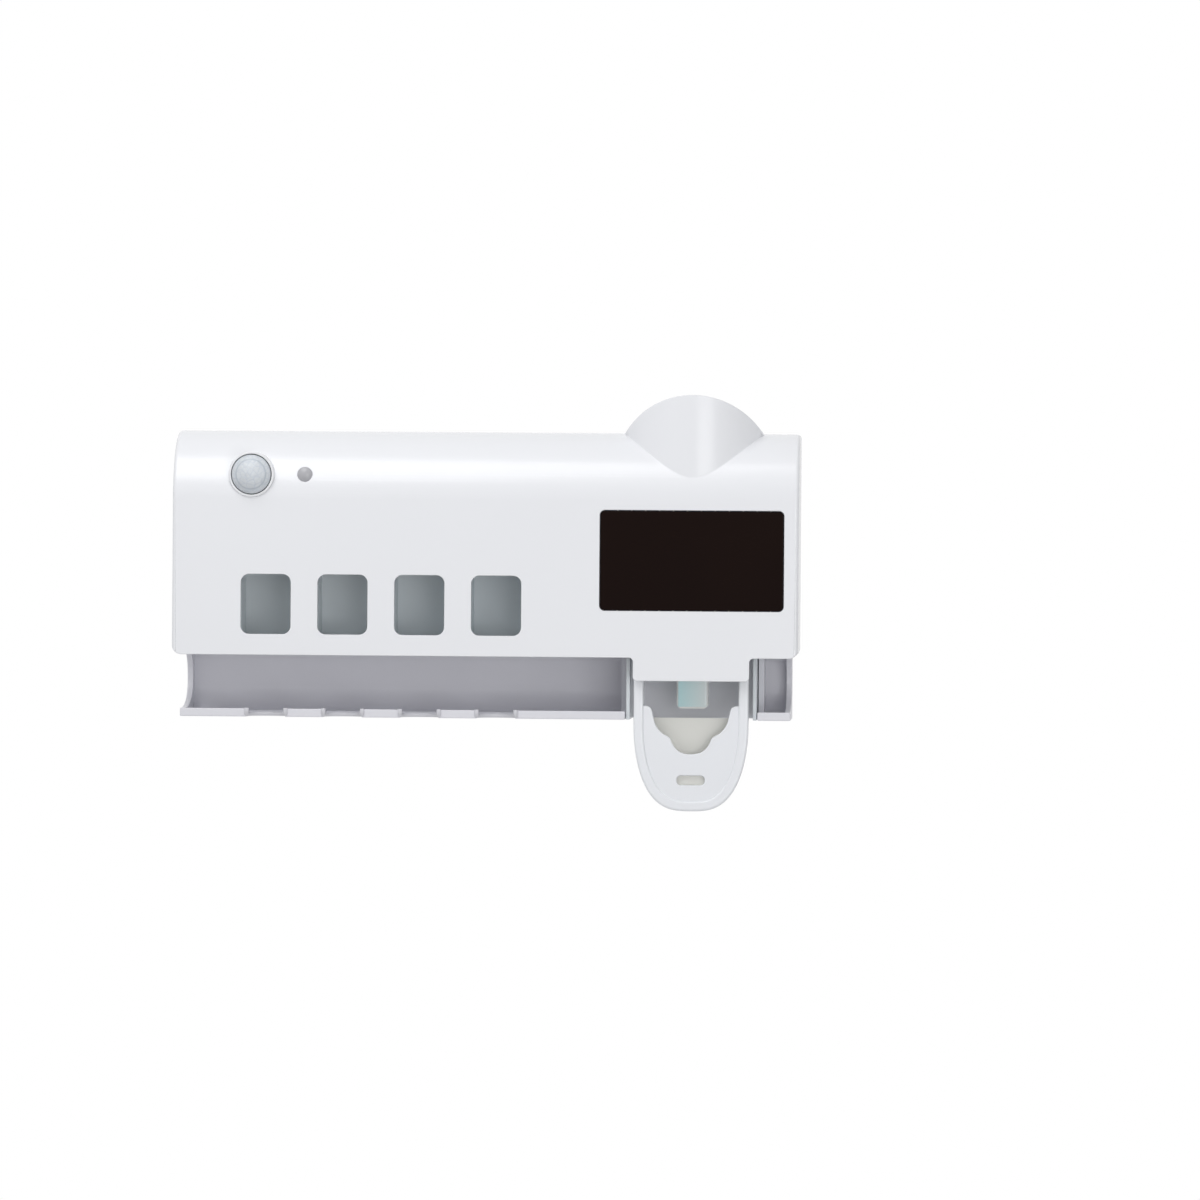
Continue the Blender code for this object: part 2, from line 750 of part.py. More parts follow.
def wall_mounting():
    shape = rounded_rectangle(0, 0, pad_width, pad_height, plate_corner_radius)
    pad = outline_solid("adhesive_pad", shape, "Y", -pad_thickness, 0)
    finish(pad, "foam")
    shape = rounded_rectangle(0, 0, plate_width, plate_height, plate_corner_radius)
    plate = outline_solid("wall_plate", shape, "Y", plate_front, plate_back)
    head_back = housing_inside - slide_gap
    root = plate_front + plate_thickness / 2
    low_z, high_z = hook_rise - hook_height / 2, hook_rise + hook_height / 2
    for side in (-1, 1):
        place = side * hook_spacing / 2
        stem, head = hook_stem_width / 2, hook_head_width / 2
        near = head_back - hook_head_thickness
        middle = head_back - hook_head_thickness / 2
        join(plate, block("stem", (place - stem, middle, low_z), (place + stem, root, high_z)))
        join(plate, block("head", (place - head, near, low_z), (place + head, head_back, high_z)))
    finish(plate, "clear_plastic")


# Liner behind the windows: a cell for each brush head, hollow between the cells from behind.
def brush_chamber():
    reach = cell_width / 2 + chamber_margin
    low_z = ledge_top + seat_gap
    high_z = low_z + chamber_height
    low = (brush_places[0] - reach, ledge_front, low_z)
    high = (brush_places[-1] + reach, -chamber_back, high_z)
    chamber = block("brush_chamber", low, high)
    floor_back = -chamber_back - cell_wall
    half = cell_width / 2
    for place in brush_places:
        pocket_low = (place - half, ledge_front - overrun, low_z + cell_wall)
        pocket = block("cell", pocket_low, (place + half, floor_back, high_z - cell_wall))
        ends = (place, 0, uv_board_middle()), (place, floor_back - overrun, uv_board_middle())
        cut(chamber, pocket, rod("lamp_hole", uv_lamp_radius + seat_gap, *ends, 16))
    web = ledge_front + cell_wall
    for place in brush_places[:-1]:
        left, right = place + half + cell_wall, place + brush_pitch - half - cell_wall
        back = -chamber_back + overrun
        cut(chamber, block("relief", (left, web, low_z - overrun), (right, back, high_z + overrun)))
    return finish(chamber, "liner")


def solar_pieces():
    middle = cover_bottom + solar_sill + solar_height / 2
    shape = rounded_rectangle(dispenser_x, middle, solar_width, solar_height, solar_corner_radius)
    window_back = front + seat_gap + solar_window_thickness
    window = outline_solid("solar_window", shape, "Y", front + seat_gap, window_back)
    finish(window, "black_glass")
    cell_front = cover_inside + seat_gap
    half_x, half_z = solar_width / 2 + solar_cell_margin, solar_height / 2 + solar_cell_margin
    low = (dispenser_x - half_x, cell_front, middle - half_z)
    high = (dispenser_x + half_x, cell_front + solar_cell_thickness, middle + half_z)
    cell = block("solar_cell", low, high)
    finish(cell, "silicon")


def dome(radius, rise, skirt, steps=6):
    sphere = (radius * radius + rise * rise) / (2 * rise)
    sweep = asin(radius / sphere)
    angles = [sweep * step / steps for step in range(steps + 1)]
    curve = [(sphere * sin(angle), skirt + rise - sphere * (1 - cos(angle))) for angle in angles]
    curve[0] = (0, curve[0][1])
    return curve


def sensor_pieces():
    board_rest = -(sensor_board_depth + seat_gap)
    outward = (0, -1, 0)
    reach = bezel_proud - front - sensor_board_depth - seat_gap
    inner = bezel_radius - bezel_wall
    ring = [(bezel_radius, reach), (bezel_radius, 0), (inner, 0), (inner, reach)]
    bezel = turned("sensor_bezel", ring, (sensor_x, board_rest, sensor_z), outward, 40, closed=True)
    finish(bezel, "white_trim")
    outer = inner - seat_gap
    skirt_foot = (sensor_x, front - bezel_proud + lens_skirt, sensor_z)
    shell = dome(outer, lens_rise, lens_skirt) + [(outer, 0), (outer - lens_wall, 0)]
    shell += dome(outer - lens_wall, lens_rise - lens_wall, lens_skirt)[::-1]
    lens = turned("sensor_lens", shell, skirt_foot, outward, 32)
    finish(lens, "frosted_lens")
    flange, step = sensor_can_radius + sensor_can_rim, sensor_can_rim_height
    can = [(0, sensor_can_height), (sensor_can_radius, sensor_can_height), (sensor_can_radius, step)]
    can += [(flange, step), (flange, 0), (0, 0)]
    finish(turned("motion_sensor", can, (sensor_x, board_rest, sensor_z), outward, 20), "steel")
    surface = top_centre[0] - sqrt(cover_top_radius ** 2 - (sensor_z - top_centre[1]) ** 2)
    length = board_rest - surface
    bulb = dome(indicator_radius, indicator_rise, length, 4) + [(indicator_radius, 0), (0, 0)]
    led = turned("indicator_led", bulb, (indicator_x, board_rest, sensor_z), outward, 20)
    finish(led, "smoked_lens")
    low_x = sensor_x - bezel_radius - sensor_board_margin
    last_x = sensor_post_places()[1][0]
    low = (low_x, -sensor_board_depth, sensor_z - sensor_board_lower)
    high_x = last_x + sensor_post_radius + seat_gap
    high = (high_x, -sensor_board_depth + board_thickness, sensor_z + sensor_board_upper)
    board = block("sensor_board", low, high)
    for index, (place_x, place_z) in enumerate(sensor_post_places()):
        ends = (place_x, low[1] - overrun, place_z), (place_x, high[1] + overrun, place_z)
        cut(board, rod("screw_hole", small_screw_radius + screw_gap, *ends, 10))
        small_screw(f"sensor_board_screw_{index + 1}", (place_x, high[1] + seat_gap, place_z), (0, 1, 0))
    finish(board, "green_board")


def screw(name, place, outward, radius, head_radius, head_height, length, recess_sides):
    profile = [(0, head_height), (head_radius, head_height), (head_radius, 0), (radius, 0)]
    profile += [(radius, -length + radius), (0, -length)]
    obj = turned(name, profile, place, outward, 16)
    direction = Vector(outward)
    foot = Vector(place) + direction * head_height * (1 - drive_depth_share)
    head = Vector(place) + direction * (head_height + overrun)
    cut(obj, rod("drive", head_radius * drive_radius_share, foot, head, recess_sides))
    return finish(obj, "screw_steel")


def small_screw(name, place, outward):
    sizes = small_screw_radius, small_screw_head_radius, small_screw_head_height
    return screw(name, place, outward, *sizes, small_screw_length, 4)


def cover_screws():
    seat = housing_back - screw_head_height
    for index, (place_x, place_z) in enumerate(post_places()):
        sizes = screw_radius, screw_head_radius, screw_head_height, screw_length
        screw(f"cover_screw_{index + 1}", (place_x, seat, place_z), (0, 1, 0), *sizes, 6)


def main_board():
    low_x, high_x, low_z, high_z = main_board_corners()
    back = housing_inside - main_board_standoff - seat_gap
    near = back - board_thickness
    board = block("main_board", (low_x, near, low_z), (high_x, back, high_z))
    for index, (place_x, place_z) in enumerate(main_standoff_places()[:2]):
        ends = (place_x, 0, place_z), (place_x, front, place_z)
        cut(board, rod("screw_hole", small_screw_radius + screw_gap, *ends, 10))
        small_screw(f"main_board_screw_{index + 1}", (place_x, near - seat_gap, place_z), (0, -1, 0))
    finish(board, "green_board")
    near, middle = socket_place()
    low = (-half_width + socket_inset, near - socket_height, middle - socket_width / 2)
    high = (low[0] + socket_depth, near, middle + socket_width / 2)
    socket = block("usb_socket", low, high)
    hollow_low = (low[0] - overrun, low[1] + socket_wall, low[2] + socket_wall)
    hollow_high = (high[0] - socket_wall, high[1] - socket_wall, high[2] - socket_wall)
    cut(socket, block("mouth", hollow_low, hollow_high))
    finish(socket, "steel")


def uv_board():
    reach = cell_width / 2 + chamber_margin - uv_board_end
    near = uv_board_front()
    half = uv_board_height / 2
    middle = uv_board_middle()
    low = (brush_places[0] - reach, near, middle - half)
    high = (brush_places[-1] + reach, near + uv_board_thickness, middle + half)
    board = block("uv_board", low, high)
    for index, (place_x, place_z) in enumerate(uv_standoff_places()):
        ends = (place_x, 0, place_z), (place_x, front, place_z)
        cut(board, rod("screw_hole", small_screw_radius + screw_gap, *ends, 10))
        small_screw(f"uv_board_screw_{index + 1}", (place_x, near - seat_gap, place_z), (0, -1, 0))
    finish(board, "green_board")
    body = uv_lamp_length - uv_lamp_radius
    for index, place in enumerate(brush_places):
        profile = dome(uv_lamp_radius, uv_lamp_radius, body, 4) + [(uv_lamp_radius, 0), (0, 0)]
        foot = (place, near - seat_gap, middle)
        finish(turned(f"uv_lamp_{index + 1}", profile, foot, (0, -1, 0), 16), "lamp_glass")


def battery_axis():
    centre_y = housing_inside - tape_thickness - 2 * seat_gap - battery_radius
    return centre_y, top - battery_drop


def battery_pieces():
    centre_y, centre_z = battery_axis()
    left = battery_left
    body = battery_length - battery_neck_length
    profile = [(0, battery_length), (battery_neck_radius, battery_length), (battery_neck_radius, body)]
    profile += [(battery_radius, body), (battery_radius, 0), (0, 0)]
    cell = turned("battery", profile, (left, centre_y, centre_z), (1, 0, 0), 32)
    finish(cell, "battery_wrap")
    middle = left + battery_length / 2
    back = housing_inside - seat_gap
    low = (middle - tape_length / 2, back - tape_thickness, centre_z - tape_width / 2)
    tape = block("battery_tape", low, (middle + tape_length / 2, back, centre_z + tape_width / 2))
    finish(tape, "foam")


# Dispenser cassette: two side fins, a back, a deck that the tube stands on and a guide for the piston.
def cassette():
    half = cassette_width / 2
    back = housing_inside - seat_gap
    inner = half - cassette_fin / 2
    back_low = (dispenser_x - inner, back - cassette_plate, deck_top - cassette_back_height)
    body = block("cassette", back_low, (dispenser_x + inner, back, deck_top))
    for side in (-1, 1):
        edge = dispenser_x + side * half
        inside = edge - side * cassette_fin
        low = (min(edge, inside), -cassette_depth, bottom)
        fin = block("fin", low, (max(edge, inside), back, deck_top))
        join(body, fin)
    for plate_top in (deck_top, guide_top):
        low = (dispenser_x - inner, -deck_depth, plate_top - cassette_plate)
        plate = block("plate", low, (dispenser_x + inner, back - cassette_plate / 2, plate_top))
        join(body, plate)
    holes = [(deck_top, neck_radius), (guide_top, piston_stem_radius + slide_gap)]
    for plate_top, radius in holes:
        foot = (dispenser_x, piston_y, plate_top - cassette_plate - overrun)
        head = (dispenser_x, piston_y, plate_top + overrun)
        cut(body, rod("plate_hole", radius, foot, head, 28))
    ends = (dispenser_x - half - overrun, hinge_y, hinge_z), (dispenser_x + half + overrun, hinge_y, hinge_z)
    cut(body, rod("hinge_hole", hinge_stub_radius + seat_gap, *ends, 20))
    finish(body, "clear_plastic")
    hang(body, cassette_axis)


def bellows_profile():
    high, low = deck_under - seat_gap, guide_top + piston_flange + 2 * seat_gap
    half_folds = 2 * bellows_folds
    outer = []
    for index in range(half_folds + 1):
        radius = bellows_root_radius if index % 2 == 0 else bellows_radius
        outer.append((radius, high - (high - low) * index / half_folds))
    inner = [(radius - bellows_wall, height) for radius, height in reversed(outer)]
    return outer + inner


def pump_pieces():
    seal = [(seal_radius, seal_height), (seal_radius, 0), (neck_radius, 0), (neck_radius, seal_height)]
    place = (dispenser_x, piston_y, deck_top + seat_gap)
    hang(finish(turned("tube_seal", seal, place, (0, 0, 1), 28, closed=True), "silicone"), cassette_axis)
    place = (dispenser_x, piston_y, 0)
    bellows = turned("pump_bellows", bellows_profile(), place, (0, 0, 1), 20, closed=True)
    hang(finish(bellows, "silicone"), cassette_axis)
    flange_low = guide_top + seat_gap
    flange_top = flange_low + piston_flange
    stem_low = guide_top - piston_stem_length
    profile = [(piston_flange_radius, flange_top), (piston_flange_radius, flange_low)]
    profile += [(piston_stem_radius, flange_low), (piston_stem_radius, stem_low)]
    profile += [(piston_bore_radius, stem_low), (piston_bore_radius, flange_top)]
    piston = turned("piston", profile, place, (0, 0, 1), 28, closed=True)
    middle = (piston_stem_radius + piston_bore_radius) / 2
    for side in (-1, 1):
        foot = (dispenser_x + side * middle, piston_y, hinge_z)
        head = (dispenser_x + side * piston_ear_span / 2, piston_y, hinge_z)
        join(piston, rod("ear", piston_ear_radius, foot, head, 14))
    hang(finish(piston, "white_trim"), piston_axis)
    low, high = bottom + nozzle_bottom, stem_low - seat_gap
    radius = nozzle_corner_radius
    left, right = dispenser_x - nozzle_width / 2, dispenser_x + nozzle_width / 2
    outline = [(left, high)] + arc(left + radius, low + radius, radius, 180, 270, 4)
    outline += arc(right - radius, low + radius, radius, 270, 360, 4) + [(right, high)]
    half = nozzle_depth / 2
    nozzle = outline_solid("nozzle", outline, "Y", piston_y - half, piston_y + half)
    ends = (dispenser_x, piston_y, low - overrun), (dispenser_x, piston_y, high + overrun)
    cut(nozzle, rod("nozzle_bore", piston_bore_radius, *ends, 16))
    hang(finish(nozzle, "blue_tint"), piston_axis)


# Half width of the lever's outline at a height, drawn in by inset. The sides are straight down to
# where the rounded end starts.
def lever_half_width(height, inset):
    start = bottom - lever_straight
    length = lever_bottom - lever_straight - inset
    share = min(max((start - height) / length, 0), 1)
    return (lever_width / 2 - inset) * (1 - share ** 2) ** (1 / 3)


def lever_side(inset, steps=12):
    start = bottom - lever_straight
    length = lever_bottom - lever_straight - inset
    heights = [start - length * sin(pi / 2 * step / steps) for step in range(steps + 1)]
    return [(lever_half_width(height, inset), height) for height in heights]


def mirrored(half_outline):
    left = [(dispenser_x - across, height) for across, height in half_outline]
    right = [(dispenser_x + across, height) for across, height in reversed(half_outline) if across > weld]
    return left + right


def lever():
    arm_top = hinge_z + lever_hub_radius + overrun
    outer = [(lever_width / 2, arm_top)] + lever_side(0)
    inner = [(lever_width / 2 - lever_arm, arm_top)] + lever_side(lever_arm)
    outline = mirrored(outer) + mirrored(inner)[::-1]
    tip = hinge_y + finger_reach
    frame = outline_solid("lever", outline, "Y", -lever_front, tip)
    rim_back = -lever_front + lever_flange_depth
    edge = [(lever_width / 2 - lever_arm / 2, bottom + lever_back_rise)] + lever_side(lever_arm / 2)
    back_wall = outline_solid("back_wall", mirrored(edge), "Y", rim_back - lever_back, rim_back + overrun)
    join(frame, back_wall)
    hub_back = hinge_y + lever_hub_radius
    finger_top = hinge_z - piston_ear_radius - seat_gap
    low = bottom - lever_bottom - overrun
    side = [(-lever_front, low), (rim_back, low), (rim_back, bottom + lever_rim_top)]
    side += [(hub_back, finger_top - finger_thickness), (tip, finger_top - finger_thickness / 2)]
    side += [(tip, finger_top)]
    drop = finger_top - hinge_z
    lean = degrees(asin(drop / lever_hub_radius))
    side += arc(hinge_y, hinge_z, lever_hub_radius, lean, 180, 10)
    side += [(-lever_front, bottom + lever_front_top)]
    profile = outline_solid("lever_side", side, "X", dispenser_x - lever_width, dispenser_x + lever_width)
    keep_common(frame, profile)
    notch_top = bottom + lever_notch_top
    notch = [
        (across * (lever_width / 2 - lever_shoulder), notch_top - share * lever_notch_depth)
        for across, share in lever_notch_shares
    ]
    edge = [(lever_width / 2 - lever_arm / 2, notch_top)] + lever_side(lever_arm / 2)
    panel_outline = mirrored(edge) + mirrored(notch)[::-1]
    near = -lever_front + lever_panel_inset
    panel = outline_solid("panel", panel_outline, "Y", near, near + lever_panel)
    join(frame, panel)
    middle = bottom - lever_slot_drop
    shape = rounded_rectangle(dispenser_x, middle, lever_slot_width, lever_slot_height, lever_slot_radius)
    cut(frame, outline_solid("slot", shape, "Y", near - overrun, near + lever_panel + overrun))
    stub_end = cassette_width / 2 - cassette_fin / 2
    for direction in (-1, 1):
        foot = (dispenser_x + direction * (lever_width / 2 - lever_arm / 2), hinge_y, hinge_z)
        head = (dispenser_x + direction * stub_end, hinge_y, hinge_z)
        join(frame, rod("stub", hinge_stub_radius, foot, head, 20))
    finish(frame, "frosted_plastic")
    hang(frame, pivot("lever_axis", (dispenser_x, hinge_y, hinge_z)))


# A round lead along chosen points.
def lead(name, points):
    curve = bpy.data.curves.new(name, "CURVE")
    curve.dimensions = "3D"
    curve.bevel_depth = lead_radius
    curve.bevel_resolution = 2
    curve.use_fill_caps = True
    spline = curve.splines.new("POLY")
    steps = 5
    path = []
    ends = [points[0]] + points + [points[-1]]
    for index in range(1, len(ends) - 2):
        before, start, end, after = (Vector(point) for point in ends[index - 1:index + 3])
        for step in range(steps):
            share = step / steps
            path.append(smooth_point(before, start, end, after, share))
    path.append(Vector(points[-1]))
    spline.points.add(len(path) - 1)
    for point, place in zip(spline.points, path):
        point.co = (*place, 1)
    obj = bpy.data.objects.new(name, curve)
    bpy.context.scene.collection.objects.link(obj)
    bpy.context.view_layer.update()
    shape = obj.evaluated_get(bpy.context.evaluated_depsgraph_get())
    mesh = bpy.data.meshes.new_from_object(shape)
    bpy.data.objects.remove(obj)
    close_mesh(mesh)
    made = bpy.data.objects.new(name, mesh)
    bpy.context.scene.collection.objects.link(made)
    return finish(made, "lead_sheath")


def smooth_point(before, start, end, after, share):
    square, cube = share * share, share * share * share
    slope_in, slope_out = (end - before) / 2, (after - start) / 2
    return (
        start * (2 * cube - 3 * square + 1)
        + slope_in * (cube - 2 * square + share)
        + end * (3 * square - 2 * cube)
        + slope_out * (cube - square)
    )


def leads():
    low_x, high_x, low_z, high_z = main_board_corners()
    board_front = housing_inside - main_board_standoff - seat_gap - board_thickness
    rest = board_front - seat_gap - lead_radius
    battery_y, battery_z = battery_axis()
    left = battery_left - seat_gap
    step = 2 * lead_radius
    start = (left, battery_y, battery_z)
    bend = (left - 2 * step, battery_y + step, battery_z)
    lead("battery_lead", [start, bend, (high_x - 2 * step, rest, battery_z + step / 2)])
    middle = uv_board_middle()
    uv_top = middle + uv_board_height / 2 + seat_gap
    uv_y = uv_board_front() + uv_board_thickness / 2
    place = brush_places[0] + step
    main_y = board_front + board_thickness / 2
    points = [(place, uv_y, uv_top), (place + step, (uv_y + main_y) / 2, (uv_top + low_z) / 2)]
    points += [(place, main_y, low_z - seat_gap)]
    lead("uv_lead", points)
    solar_left = dispenser_x - solar_width / 2
    solar_y = cover_inside + seat_gap + solar_cell_thickness + seat_gap
    solar_z = cover_bottom + solar_sill + solar_height * solar_lead_share
    run_y = top_centre[0] - lead_run
    run_z = top - cover_wall - 3 * step
    riser_x = solar_left + step
    route = [(riser_x, solar_y, solar_z), (riser_x, solar_y + 3 * step, solar_z + 2 * step)]
    route += [(riser_x, run_y, run_z - 6 * step)]
    start_x = riser_x - 2 * step
    span_count = 5
    for index in range(span_count + 1):
        share = index / span_count
        sag = lead_sag * 4 * share * (1 - share)
        route.append((start_x + (left - start_x) * share, run_y - sag / 2, run_z - sag))
    route += [(left - 3 * step, (run_y + rest) / 2, run_z - step)]
    route += [(high_x - 2 * step, rest, high_z - 2 * step)]
    lead("solar_lead", route)


wipe()
parts = collection("uv_toothbrush_holder")
cutters = collection("cutters")
looks = {
    "white_shell": material("white_shell", (0.86, 0.87, 0.89), 0.28),
    "white_trim": material("white_trim", (0.88, 0.89, 0.90), 0.3),
    "grey_shell": material("grey_shell", (0.42, 0.43, 0.46), 0.4),
    "liner": material("liner", (0.55, 0.56, 0.58), 0.5),
    "clear_plastic": material("clear_plastic", (0.80, 0.82, 0.86), 0.2, alpha=0.6),
    "frosted_plastic": material("frosted_plastic", (0.82, 0.84, 0.89), 0.3, alpha=0.75),
    "blue_tint": material("blue_tint", (0.35, 0.72, 0.78), 0.2, alpha=0.7),
    "silicone": material("silicone", (0.85, 0.85, 0.83), 0.6),
    "frosted_lens": material("frosted_lens", (0.80, 0.84, 0.88), 0.35),
    "smoked_lens": material("smoked_lens", (0.40, 0.40, 0.42), 0.3),
    "black_glass": material("black_glass", (0.006, 0.003, 0.003), 0.1),
    "silicon": material("silicon", (0.02, 0.02, 0.05), 0.3),
    "steel": material("steel", (0.62, 0.62, 0.62), 0.3, metallic=1.0),
    "screw_steel": material("screw_steel", (0.5, 0.5, 0.5), 0.35, metallic=1.0),
    "green_board": material("green_board", (0.02, 0.18, 0.06), 0.4),
    "lamp_glass": material("lamp_glass", (0.55, 0.50, 0.80), 0.1, alpha=0.7),
    "battery_wrap": material("battery_wrap", (0.05, 0.15, 0.45), 0.35),
    "lead_sheath": material("lead_sheath", (0.35, 0.02, 0.02), 0.5),
    "foam": material("foam", (0.70, 0.70, 0.68), 0.9),
}
cassette_axis = pivot("cassette_axis", (dispenser_x, piston_y, deck_top))
piston_axis = pivot("piston_axis", (dispenser_x, piston_y, guide_top))
wall_mounting()
rear_housing()
front_cover()
brush_chamber()
solar_pieces()
sensor_pieces()
cover_screws()
main_board()
uv_board()
battery_pieces()
cassette()
pump_pieces()
lever()
leads()
print("pieces:", len([obj for obj in parts.objects if obj.type == "MESH"]))
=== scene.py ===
# UV toothbrush holder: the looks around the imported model.
# Metres. X to the right, +Y into the wall, Z up.
from math import asin, cos, degrees, pi, radians, sin, sqrt

import bmesh
import bpy
from mathutils import Matrix, Vector


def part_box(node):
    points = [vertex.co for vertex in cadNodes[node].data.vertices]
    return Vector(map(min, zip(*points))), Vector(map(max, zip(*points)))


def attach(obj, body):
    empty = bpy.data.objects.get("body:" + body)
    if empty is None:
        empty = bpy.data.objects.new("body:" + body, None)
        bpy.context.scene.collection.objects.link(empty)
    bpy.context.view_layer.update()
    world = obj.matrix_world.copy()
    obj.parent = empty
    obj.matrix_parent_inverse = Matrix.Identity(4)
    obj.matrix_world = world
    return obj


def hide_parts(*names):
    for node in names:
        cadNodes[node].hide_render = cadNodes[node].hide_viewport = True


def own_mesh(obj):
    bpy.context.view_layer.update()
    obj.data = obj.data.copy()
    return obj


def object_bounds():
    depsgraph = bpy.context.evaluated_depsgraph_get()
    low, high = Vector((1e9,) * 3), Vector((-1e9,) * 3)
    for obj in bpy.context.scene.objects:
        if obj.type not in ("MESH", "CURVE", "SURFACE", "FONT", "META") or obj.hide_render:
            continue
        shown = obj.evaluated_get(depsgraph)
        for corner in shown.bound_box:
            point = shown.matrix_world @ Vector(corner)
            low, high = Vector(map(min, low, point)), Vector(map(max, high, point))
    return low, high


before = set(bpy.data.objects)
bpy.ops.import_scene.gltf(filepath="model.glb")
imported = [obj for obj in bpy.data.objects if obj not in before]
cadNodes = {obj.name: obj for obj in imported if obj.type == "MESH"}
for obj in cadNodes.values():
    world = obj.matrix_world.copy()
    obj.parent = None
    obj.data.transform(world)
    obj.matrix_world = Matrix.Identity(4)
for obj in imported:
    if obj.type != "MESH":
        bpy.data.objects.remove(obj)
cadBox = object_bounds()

sceneRoot = bpy.context.scene.collection

tubePlace = 0.0752  # X of the tube's side: collar, solar window, apron and dispenser
pumpDepth = -0.022  # Y of the dispenser's upright axis
spare = 0.001  # how far a cutter reaches past what it cuts

# How meshes are merged and shaded, with angles in degrees
meshRules = {
    "merge": 0.000004, "nodeMerge": 0.000002, "flatAngle": 0.3, "shadeAngle": 40,
    "normalWeight": 60, "pole": 1e-7,
}
# Below, "edge" is how a piece's edges are rounded: width, segments, and the least angle they turn


# Mesh helpers
def newObject(name, data):
    obj = bpy.data.objects.new(name, data)
    sceneRoot.objects.link(obj)
    return obj


def meshObject(name, shape):
    mesh = bpy.data.meshes.new(name)
    shape.to_mesh(mesh)
    shape.free()
    return newObject(name, mesh)


# Each path becomes a line through its points, and a path of one point a bare point.
def pathObject(name, paths):
    points = [point for path in paths for point in path]
    edges, start = [], 0
    for path in paths:
        edges += [(start + index, start + index + 1) for index in range(len(path) - 1)]
        start += len(path)
    mesh = bpy.data.meshes.new(name)
    mesh.from_pydata(points, edges, [])
    return newObject(name, mesh)


def bakeModifiers(obj):
    graph = bpy.context.evaluated_depsgraph_get()
    mesh = bpy.data.meshes.new_from_object(obj.evaluated_get(graph))
    obj.modifiers.clear()
    obj.data = mesh
    return obj


# A mesh's shape, with loose triangles and the small leftovers of a boolean merged into whole faces
def mergedShape(mesh, reach):
    shape = bmesh.new()
    shape.from_mesh(mesh)
    bmesh.ops.remove_doubles(shape, verts=shape.verts, dist=reach)
    flat = radians(meshRules["flatAngle"])
    bmesh.ops.dissolve_limit(shape, angle_limit=flat, verts=shape.verts, edges=shape.edges)
    return shape


def copyNode(nodeName, pieceName):
    return meshObject(pieceName, mergedShape(cadNodes[nodeName].data, meshRules["nodeMerge"]))


# The middle and the length between two values
def span(low, high):
    return (low + high) / 2, high - low


def arcPoints(centreU, centreV, radius, start, end, steps):
    turns = [radians(start + (end - start) * step / steps) for step in range(steps + 1)]
    return [(centreU + radius * cos(turn), centreV + radius * sin(turn)) for turn in turns]


def roundedBox(centreU, centreV, width, height, radius, steps=10):
    sideU, sideV = width / 2 - radius, height / 2 - radius
    points = []
    for signU, signV, start in ((1, 1, 0), (-1, 1, 90), (-1, -1, 180), (1, -1, 270)):
        cornerU, cornerV = centreU + signU * sideU, centreV + signV * sideV
        points += arcPoints(cornerU, cornerV, radius, start, start + 90, steps)
    return points


# A flat outline made solid from low to high along an axis.
# Its points are (Y, Z) along X, (X, Z) along Y and (X, Y) along Z.
def outlineSolid(name, outline, axis, low, high):
    place = {
        "X": lambda u, v, along: (along, u, v),
        "Y": lambda u, v, along: (u, along, v),
        "Z": lambda u, v, along: (u, v, along),
    }[axis]
    shape = bmesh.new()
    lower = [shape.verts.new(place(u, v, low)) for u, v in outline]
    upper = [shape.verts.new(place(u, v, high)) for u, v in outline]
    shape.faces.new(lower)
    shape.faces.new(upper)
    for index in range(len(outline)):
        after = (index + 1) % len(outline)
        shape.faces.new((lower[index], lower[after], upper[after], upper[index]))
    bmesh.ops.recalc_face_normals(shape, faces=shape.faces)
    return meshObject(name, shape)


def blockSolid(name, low, high):
    outline = [(low[0], low[1]), (high[0], low[1]), (high[0], high[1]), (low[0], high[1])]
    return outlineSolid(name, outline, "Z", low[2], high[2])


# A profile of (radius, height) points turned about an axis. A point at radius 0 makes a pole.
def turnedSolid(name, profile, foot, direction=(0, 0, 1), sides=64, loop=False):
    shape = bmesh.new()
    turns = [2 * pi * side / sides for side in range(sides)]
    rings = []
    for radius, height in profile:
        if radius < meshRules["pole"]:
            rings.append([shape.verts.new((0, 0, height))])
            continue
        points = [(radius * cos(turn), radius * sin(turn), height) for turn in turns]
        rings.append([shape.verts.new(point) for point in points])
    pairs = list(zip(rings, rings[1:])) + ([(rings[-1], rings[0])] if loop else [])
    for first, second in pairs:
        for side in range(sides):
            after = (side + 1) % sides
            corners = [first[side % len(first)], first[after % len(first)]]
            corners += [second[after % len(second)], second[side % len(second)]]
            corners = list(dict.fromkeys(corners))
            if len(corners) > 2:
                shape.faces.new(corners)
    bmesh.ops.recalc_face_normals(shape, faces=shape.faces)
    turn = Vector(direction).to_track_quat("Z", "Y").to_matrix().to_4x4()
    shape.transform(Matrix.Translation(foot) @ turn)
    return meshObject(name, shape)


def rodSolid(name, radius, foot, head, sides=48):
    foot, head = Vector(foot), Vector(head)
    length = (head - foot).length
    profile = [(0, 0), (radius, 0), (radius, length), (0, length)]
    return turnedSolid(name, profile, foot, head - foot, sides)


# The profile of a domed top, from its pole down to its edge at the base
def domeProfile(radius, rise, base, steps):
    sphere = (radius ** 2 + rise ** 2) / (2 * rise)
    sweep = asin(radius / sphere)
    turns = [sweep * step / steps for step in range(steps + 1)]
    return [(sphere * sin(turn), base + rise - sphere * (1 - cos(turn))) for turn in turns]


def combine(obj, operation, *tools):
    for tool in tools:
        step = obj.modifiers.new("combine", "BOOLEAN")
        step.operation, step.solver, step.object = operation, "EXACT", tool
    bakeModifiers(obj)
    for tool in tools:
        bpy.data.objects.remove(tool)
    return obj


def cutAway(obj, *tools):
    return combine(obj, "DIFFERENCE", *tools)


def joinTo(obj, *tools):
    return combine(obj, "UNION", *tools)


def keepCommon(obj, *tools):
    return combine(obj, "INTERSECT", *tools)


